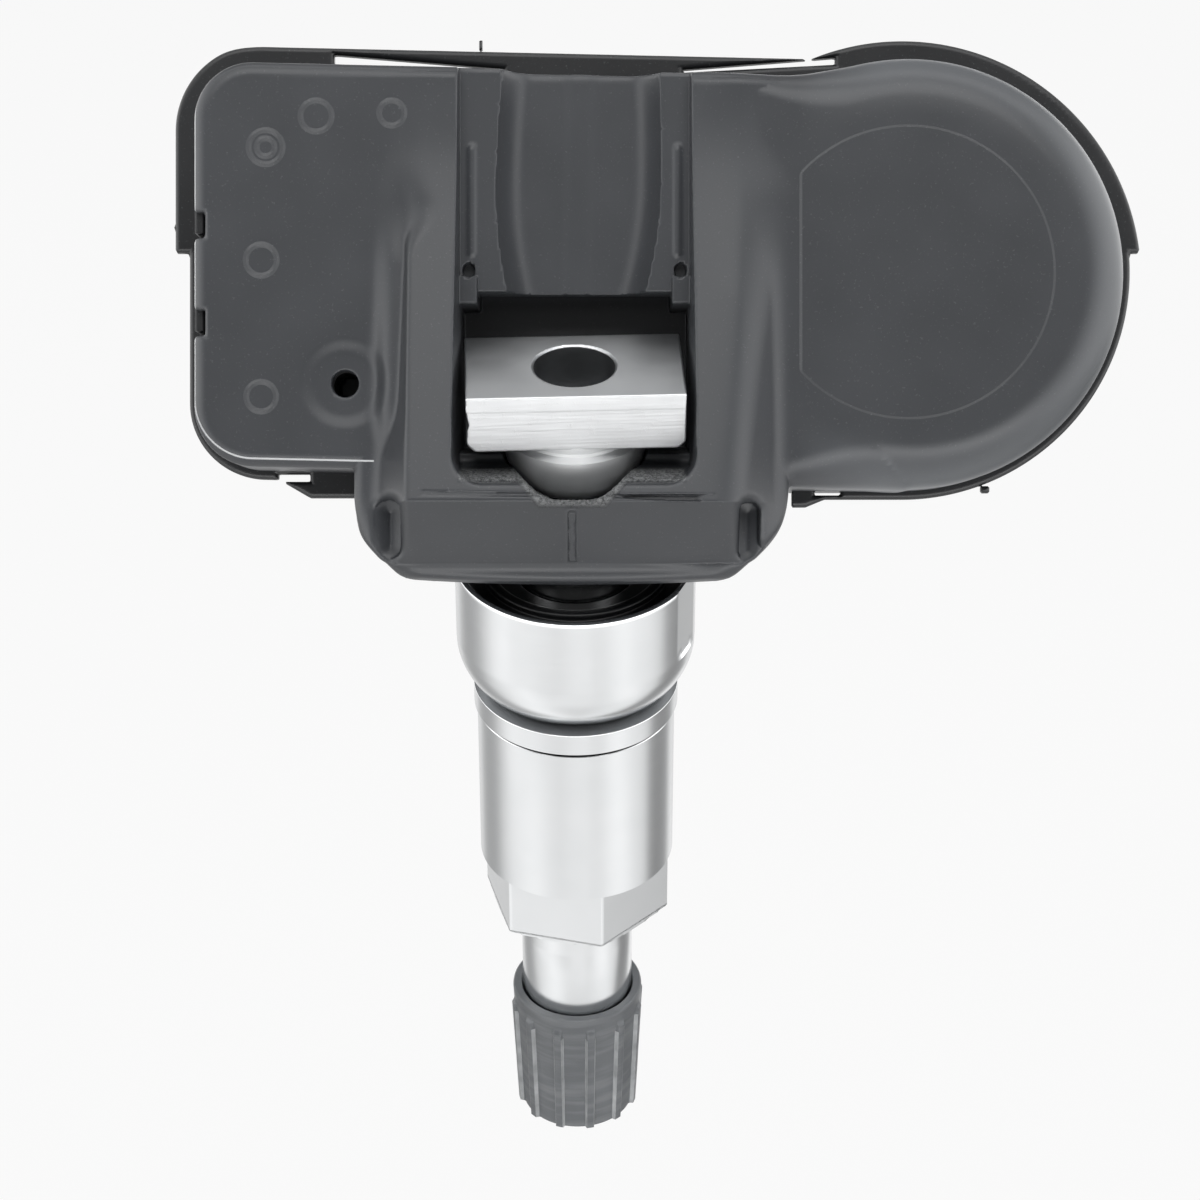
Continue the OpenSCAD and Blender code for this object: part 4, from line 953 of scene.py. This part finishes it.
stem_profile = [(4.05, 17.6), (4.05, 5.5), (4.05, 5.02), (4.45, 5.0), (4.5, 4.9), (4.5, 0.0)]
stem_profile += [(4.5, -0.1 * k) for k in range(1, 198)] + [(4.15, -20.0), (4.15, -22.4)]
stem_profile += [(4.09, -22.44), (4.09, -22.5), (4.1, -22.6), (4.1, -24.0), (4.1, -29.2)]
stem_profile += [(4.0, -29.4), (3.85, -29.5)] + [(3.85, -29.6 - 0.1 * k) for k in range(70)]
stem_profile += [(3.55, -36.9), (2.8, -36.9), (2.65, -36.7), (2.65, -27.4), (2.25, -27.4)]
stem_profile += [(2.25, -21.0), (1.6, -21.0), (1.6, 17.6)]
lathe("threaded_stem", stem_profile, stem_metal, "valve", "valve_stem",
      144, stem_radius)

# %% [markdown]
# The ball and the block above it are what shows in the pocket. The ball is polished, with a
# narrow disc above it. The block's front has a smooth band along its top, long shallow tool lines
# below, and edges that the saw left uneven.

# %% Ball and head block
ball_turns = np.radians(np.linspace(-34.2, 5.8, 26))
ball_arc = [(4.9 * math.cos(a), 20.0 + 4.9 * math.sin(a)) for a in ball_turns]
ball_profile = [(1.6, 17.2), (4.04, 17.2)] + ball_arc + [(4.45, 20.56), (4.2, 20.62)]
ball_profile += [(4.12, 20.8), (4.2, 20.95), (4.2, 21.3), (1.6, 21.3)]
lathe("swivel_ball", ball_profile, ball_metal, "valve", "valve_stem", 200)
HEAD_W, HEAD_D, HEAD_LOW, HEAD_TOP = 14.7, 8.4, 21.2, 25.3
HEAD_TURN, HEAD_BORE = math.radians(2.5), 2.75


def head_block(x, y, z):
    """Distance to the milled block, in its own turned frame."""
    uneven = 0.07 * np.sin(2.3 * z + 1.3) + 0.04 * np.sin(6.1 * z + 0.8) * np.sin(1.7 * z)
    side = np.abs(x + uneven * smooth(-x, 6, 7)) - HEAD_W / 2 + 0.05
    tool = 0.0015 * np.sin(9.0 * z + 0.35 * x) + 0.001 * np.sin(23.0 * z - 0.5 * x)
    milled = smooth(24.3 - z, 0.0, 0.15) * (0.012 + tool)
    front = maximum(-y - HEAD_D / 2 + milled, y - HEAD_D / 2)
    walls = rounded(side, front, 0.12)
    walls = rounded(walls, maximum(z - HEAD_TOP, HEAD_LOW - z), 0.1)
    corner = (np.abs(x) - HEAD_W / 2) * 0.7 + (HEAD_LOW - z) * 0.7 + 0.35
    walls = blend_cut(walls, corner, 0.2)
    mouth = 0.12 * smooth(z, HEAD_TOP - 0.12, HEAD_TOP)
    bore = maximum(hypot(x, y) - HEAD_BORE - mouth, 15.3 - z)
    return maximum(walls, -bore)


def in_bore(middle, normal):
    """Picks the wall of the bore below its broken edge."""
    inside = hypot(middle[0], middle[1]) < HEAD_BORE + 0.03
    return inside & (middle[2] < HEAD_TOP - 0.15)


head_xs = step_list((-7.6, 7.61, 0.1))
head_ys = step_list((-4.5, -3.9, 0.07), (-3.9, 4.5, 0.14))
head_zs = step_list((21.0, 25.6, 0.06))
head = moulding("milled_head", head_block, head_xs, head_ys, head_zs)
head.data.materials.append(milled_metal)
second_finish(head, sawn_metal, lambda middle, normal: normal[1] < -0.7)
# painted shade: the bore's wall is given a darker metal
second_finish(head, dull_bore_painted_shade, in_bore)
head.matrix_world = Matrix.Rotation(HEAD_TURN, 4, "Z")
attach(head, "valve")
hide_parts("valve_stem")

# %% [markdown]
# The dust cap tapers slightly. Its rim is a plain band, from which twelve narrow ribs run down to
# the closed bottom, and its open mouth leaves a dark ring round the shank.

# %% Dust cap
def cap_radius(r, z, angle):
    """Outside of the cap: tapered wall with raised grip ribs."""
    if r >= 0:
        return r
    wall = 4.35 + (z - CAP_END) * 0.5 / 11.0
    turn = (angle - RIB_TURN) % (2 * math.pi / RIBS) - math.pi / RIBS
    edge = abs(turn) * wall
    rib = min(1.0, max(0.0, (RIB_HALF + 0.05 - edge) / 0.1))
    band = 0.0 if z < BAND_LOW - 0.01 else 0.12
    run_out = min(1.0, max(0.0, (BAND_LOW + 0.75 - z) / 0.35))
    return wall - 0.12 + band * (1 - rib * run_out) + rib * run_out * (RIB_OUT + 0.12)


cap_zs = [CAP_TOP - 0.25, CAP_TOP - 0.6, -28.9, -29.1, -29.2, -29.3, -29.4, -29.6, -29.78, -29.82]
cap_zs += [-29.95] + list(np.linspace(-30.4, CAP_END + 0.35, 14)) + [CAP_END + 0.15]
cap_profile = [(4.45, CAP_TOP), (4.72, CAP_TOP), (4.81, CAP_TOP - 0.08)]
cap_profile += [(SHAPED, z) for z in cap_zs]
cap_profile += [(4.2, CAP_END + 0.03), (4.0, CAP_END), (0.001, CAP_END), (0.001, -37.87)]
cap_profile += [(3.91, -37.87), (3.91, -29.9), (4.17, -29.8), (4.17, CAP_TOP - 0.1)]
cap_profile += [(4.25, CAP_TOP)]
lathe("dust_cap", cap_profile, cap_nylon, "cap", "valve_cap", 360, cap_radius)

# %% [markdown]
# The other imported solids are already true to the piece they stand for. They keep their mesh and
# only get their finish.

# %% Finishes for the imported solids
finishes = {
    "circuit_board": solder_mask, "battery_cell": cell_steel, "battery_tab_upper": cell_steel,
    "battery_tab_lower": cell_steel, "pressure_chip": chip_epoxy, "port_seal": epdm,
    "controller_chip": chip_epoxy, "crystal_can": cell_steel, "chip_capacitors": ceramic,
    "trigger_coil_core": ferrite, "trigger_coil_winding": coil_copper,
    "antenna_loop": core_brass, "core_body": core_brass, "core_gasket": red_rubber,
    "core_pin": core_brass, "core_spring": spring_steel, "core_cup": epdm, "cap_disc": epdm}
for name, material in finishes.items():
    piece = nodes[name]
    piece.data.materials.clear()
    piece.data.materials.append(material)
print("finished solids:", len(finishes))

# %% [markdown]
# The stage is a plain pale floor, far enough below that the object's shadow falls outside the
# photograph's frame, with a white surround. Three large soft boxes light it, one of them from
# behind. What the metal mirrors is set apart: a bright strip at each side of the surround, and
# lighter and darker sectors of the floor, which become the upright bands of the metal.

# %% Floor, surround and lights
FLOOR_Z, FLOOR_HALF = -0.17, 3.0
FLOOR_TONES = [
    (-180, 0.9), (-150, 0.75), (-122, 0.42), (-95, 0.75), (-60, 1.05), (0, 0.9), (60, 1.05),
    (88, 0.85), (108, 0.32), (128, 0.38), (150, 0.85), (180, 0.9)]


def either(tree, share, first, second):
    """Shader that goes from first to second."""
    return add(tree, "ShaderNodeMixShader", {0: share, 1: first, 2: second}).outputs[0]


def glow(tree, strength, kind="Emission"):
    """White light given off by a surface, or by the surround as a Background."""
    return add(tree, "ShaderNode" + kind, {"Color": WHITE, "Strength": strength}).outputs[0]


def white_floor():
    """Pale floor that gives what mirrors it a light of its own."""
    material, tree, where = start_material("painted_studio_floor")
    tone = mix(tree, noise(tree, where, 150.0), "f4f4f4", "ededed")
    paint = add(tree, "ShaderNodeBsdfDiffuse", {"Color": tone}).outputs[0]
    path = add(tree, "ShaderNodeLightPath").outputs
    plain = either(tree, calc(tree, "MULTIPLY", path["Is Camera Ray"], 0.9), paint, glow(tree, 1.0))
    place = add(tree, "ShaderNodeSeparateXYZ", {"Vector": where}).outputs
    bearing = calc(tree, "ARCTAN2", place["X"], calc(tree, "MULTIPLY", place["Y"], -1.0))
    pool = add(tree, "ShaderNodeFloatCurve", {"Value": ramp(tree, bearing, -math.pi, math.pi)})
    curve = pool.mapping.curves[0]
    curve.points[0].location = (0.0, FLOOR_TONES[0][1])
    curve.points[1].location = (1.0, FLOOR_TONES[-1][1])
    for degrees, tone_here in FLOOR_TONES[1:-1]:
        curve.points.new(0.5 + degrees / 360, tone_here)
    pool.mapping.update()
    dapple = ramp(tree, noise(tree, where, 140.0, 0.0), 0.35, 0.65, 0.95, 1.12)
    far = ramp(tree, vector(tree, "LENGTH", where), 0.36, 0.6, high=1.3)
    shine = calc(tree, "ADD", calc(tree, "MULTIPLY", pool.outputs[0], dapple), far)
    both = either(tree, path["Is Glossy Ray"], plain, glow(tree, shine))
    add(tree, "ShaderNodeOutputMaterial", {"Surface": both})
    return material


signs = ((-1, -1), (1, -1), (1, 1), (-1, 1))
corners = [(x * FLOOR_HALF, y * FLOOR_HALF, FLOOR_Z) for x, y in signs]
studio_floor = linked("studio_floor", corners, [(0, 1, 2, 3)])
studio_floor.data.materials.append(white_floor())

scene.world = bpy.data.worlds.new("studio_surround")
scene.world.use_nodes = True
sky = scene.world.node_tree
sky.nodes.clear()
path = add(sky, "ShaderNodeLightPath").outputs
way = add(sky, "ShaderNodeTexCoord").outputs["Generated"]
aside = calc(sky, "ABSOLUTE", add(sky, "ShaderNodeSeparateXYZ", {"Vector": way}).outputs["X"])
strips = glow(sky, ramp(sky, aside, 0.5, 0.95, 0.26, 2.4), "Background")
unseen = either(sky, path["Is Glossy Ray"], glow(sky, 0.11, "Background"), strips)
both = either(sky, path["Is Camera Ray"], unseen, glow(sky, 1.0, "Background"))
add(sky, "ShaderNodeOutputWorld", {"Surface": both})


def soft_box(name, place, size, watts):
    """Soft box that aims at the object."""
    data = bpy.data.lights.new(name, "AREA")
    data.shape = "RECTANGLE"
    data.size, data.size_y = size
    data.energy = watts
    lamp = bpy.data.objects.new(name, data)
    lamp.location = place
    lamp.rotation_euler = (LOOK_AT - lamp.location).to_track_quat("-Z", "Y").to_euler()
    scene.collection.objects.link(lamp)


soft_box("key_box", Vector((0.0, -0.12, 0.62)), (0.7, 0.5), 2.6)
soft_box("front_low", Vector((0.05, -0.7, -0.02)), (0.9, 0.25), 1.8)
soft_box("back_panel", Vector((0.0, 0.42, 0.62)), (1.2, 0.25), 1.6)
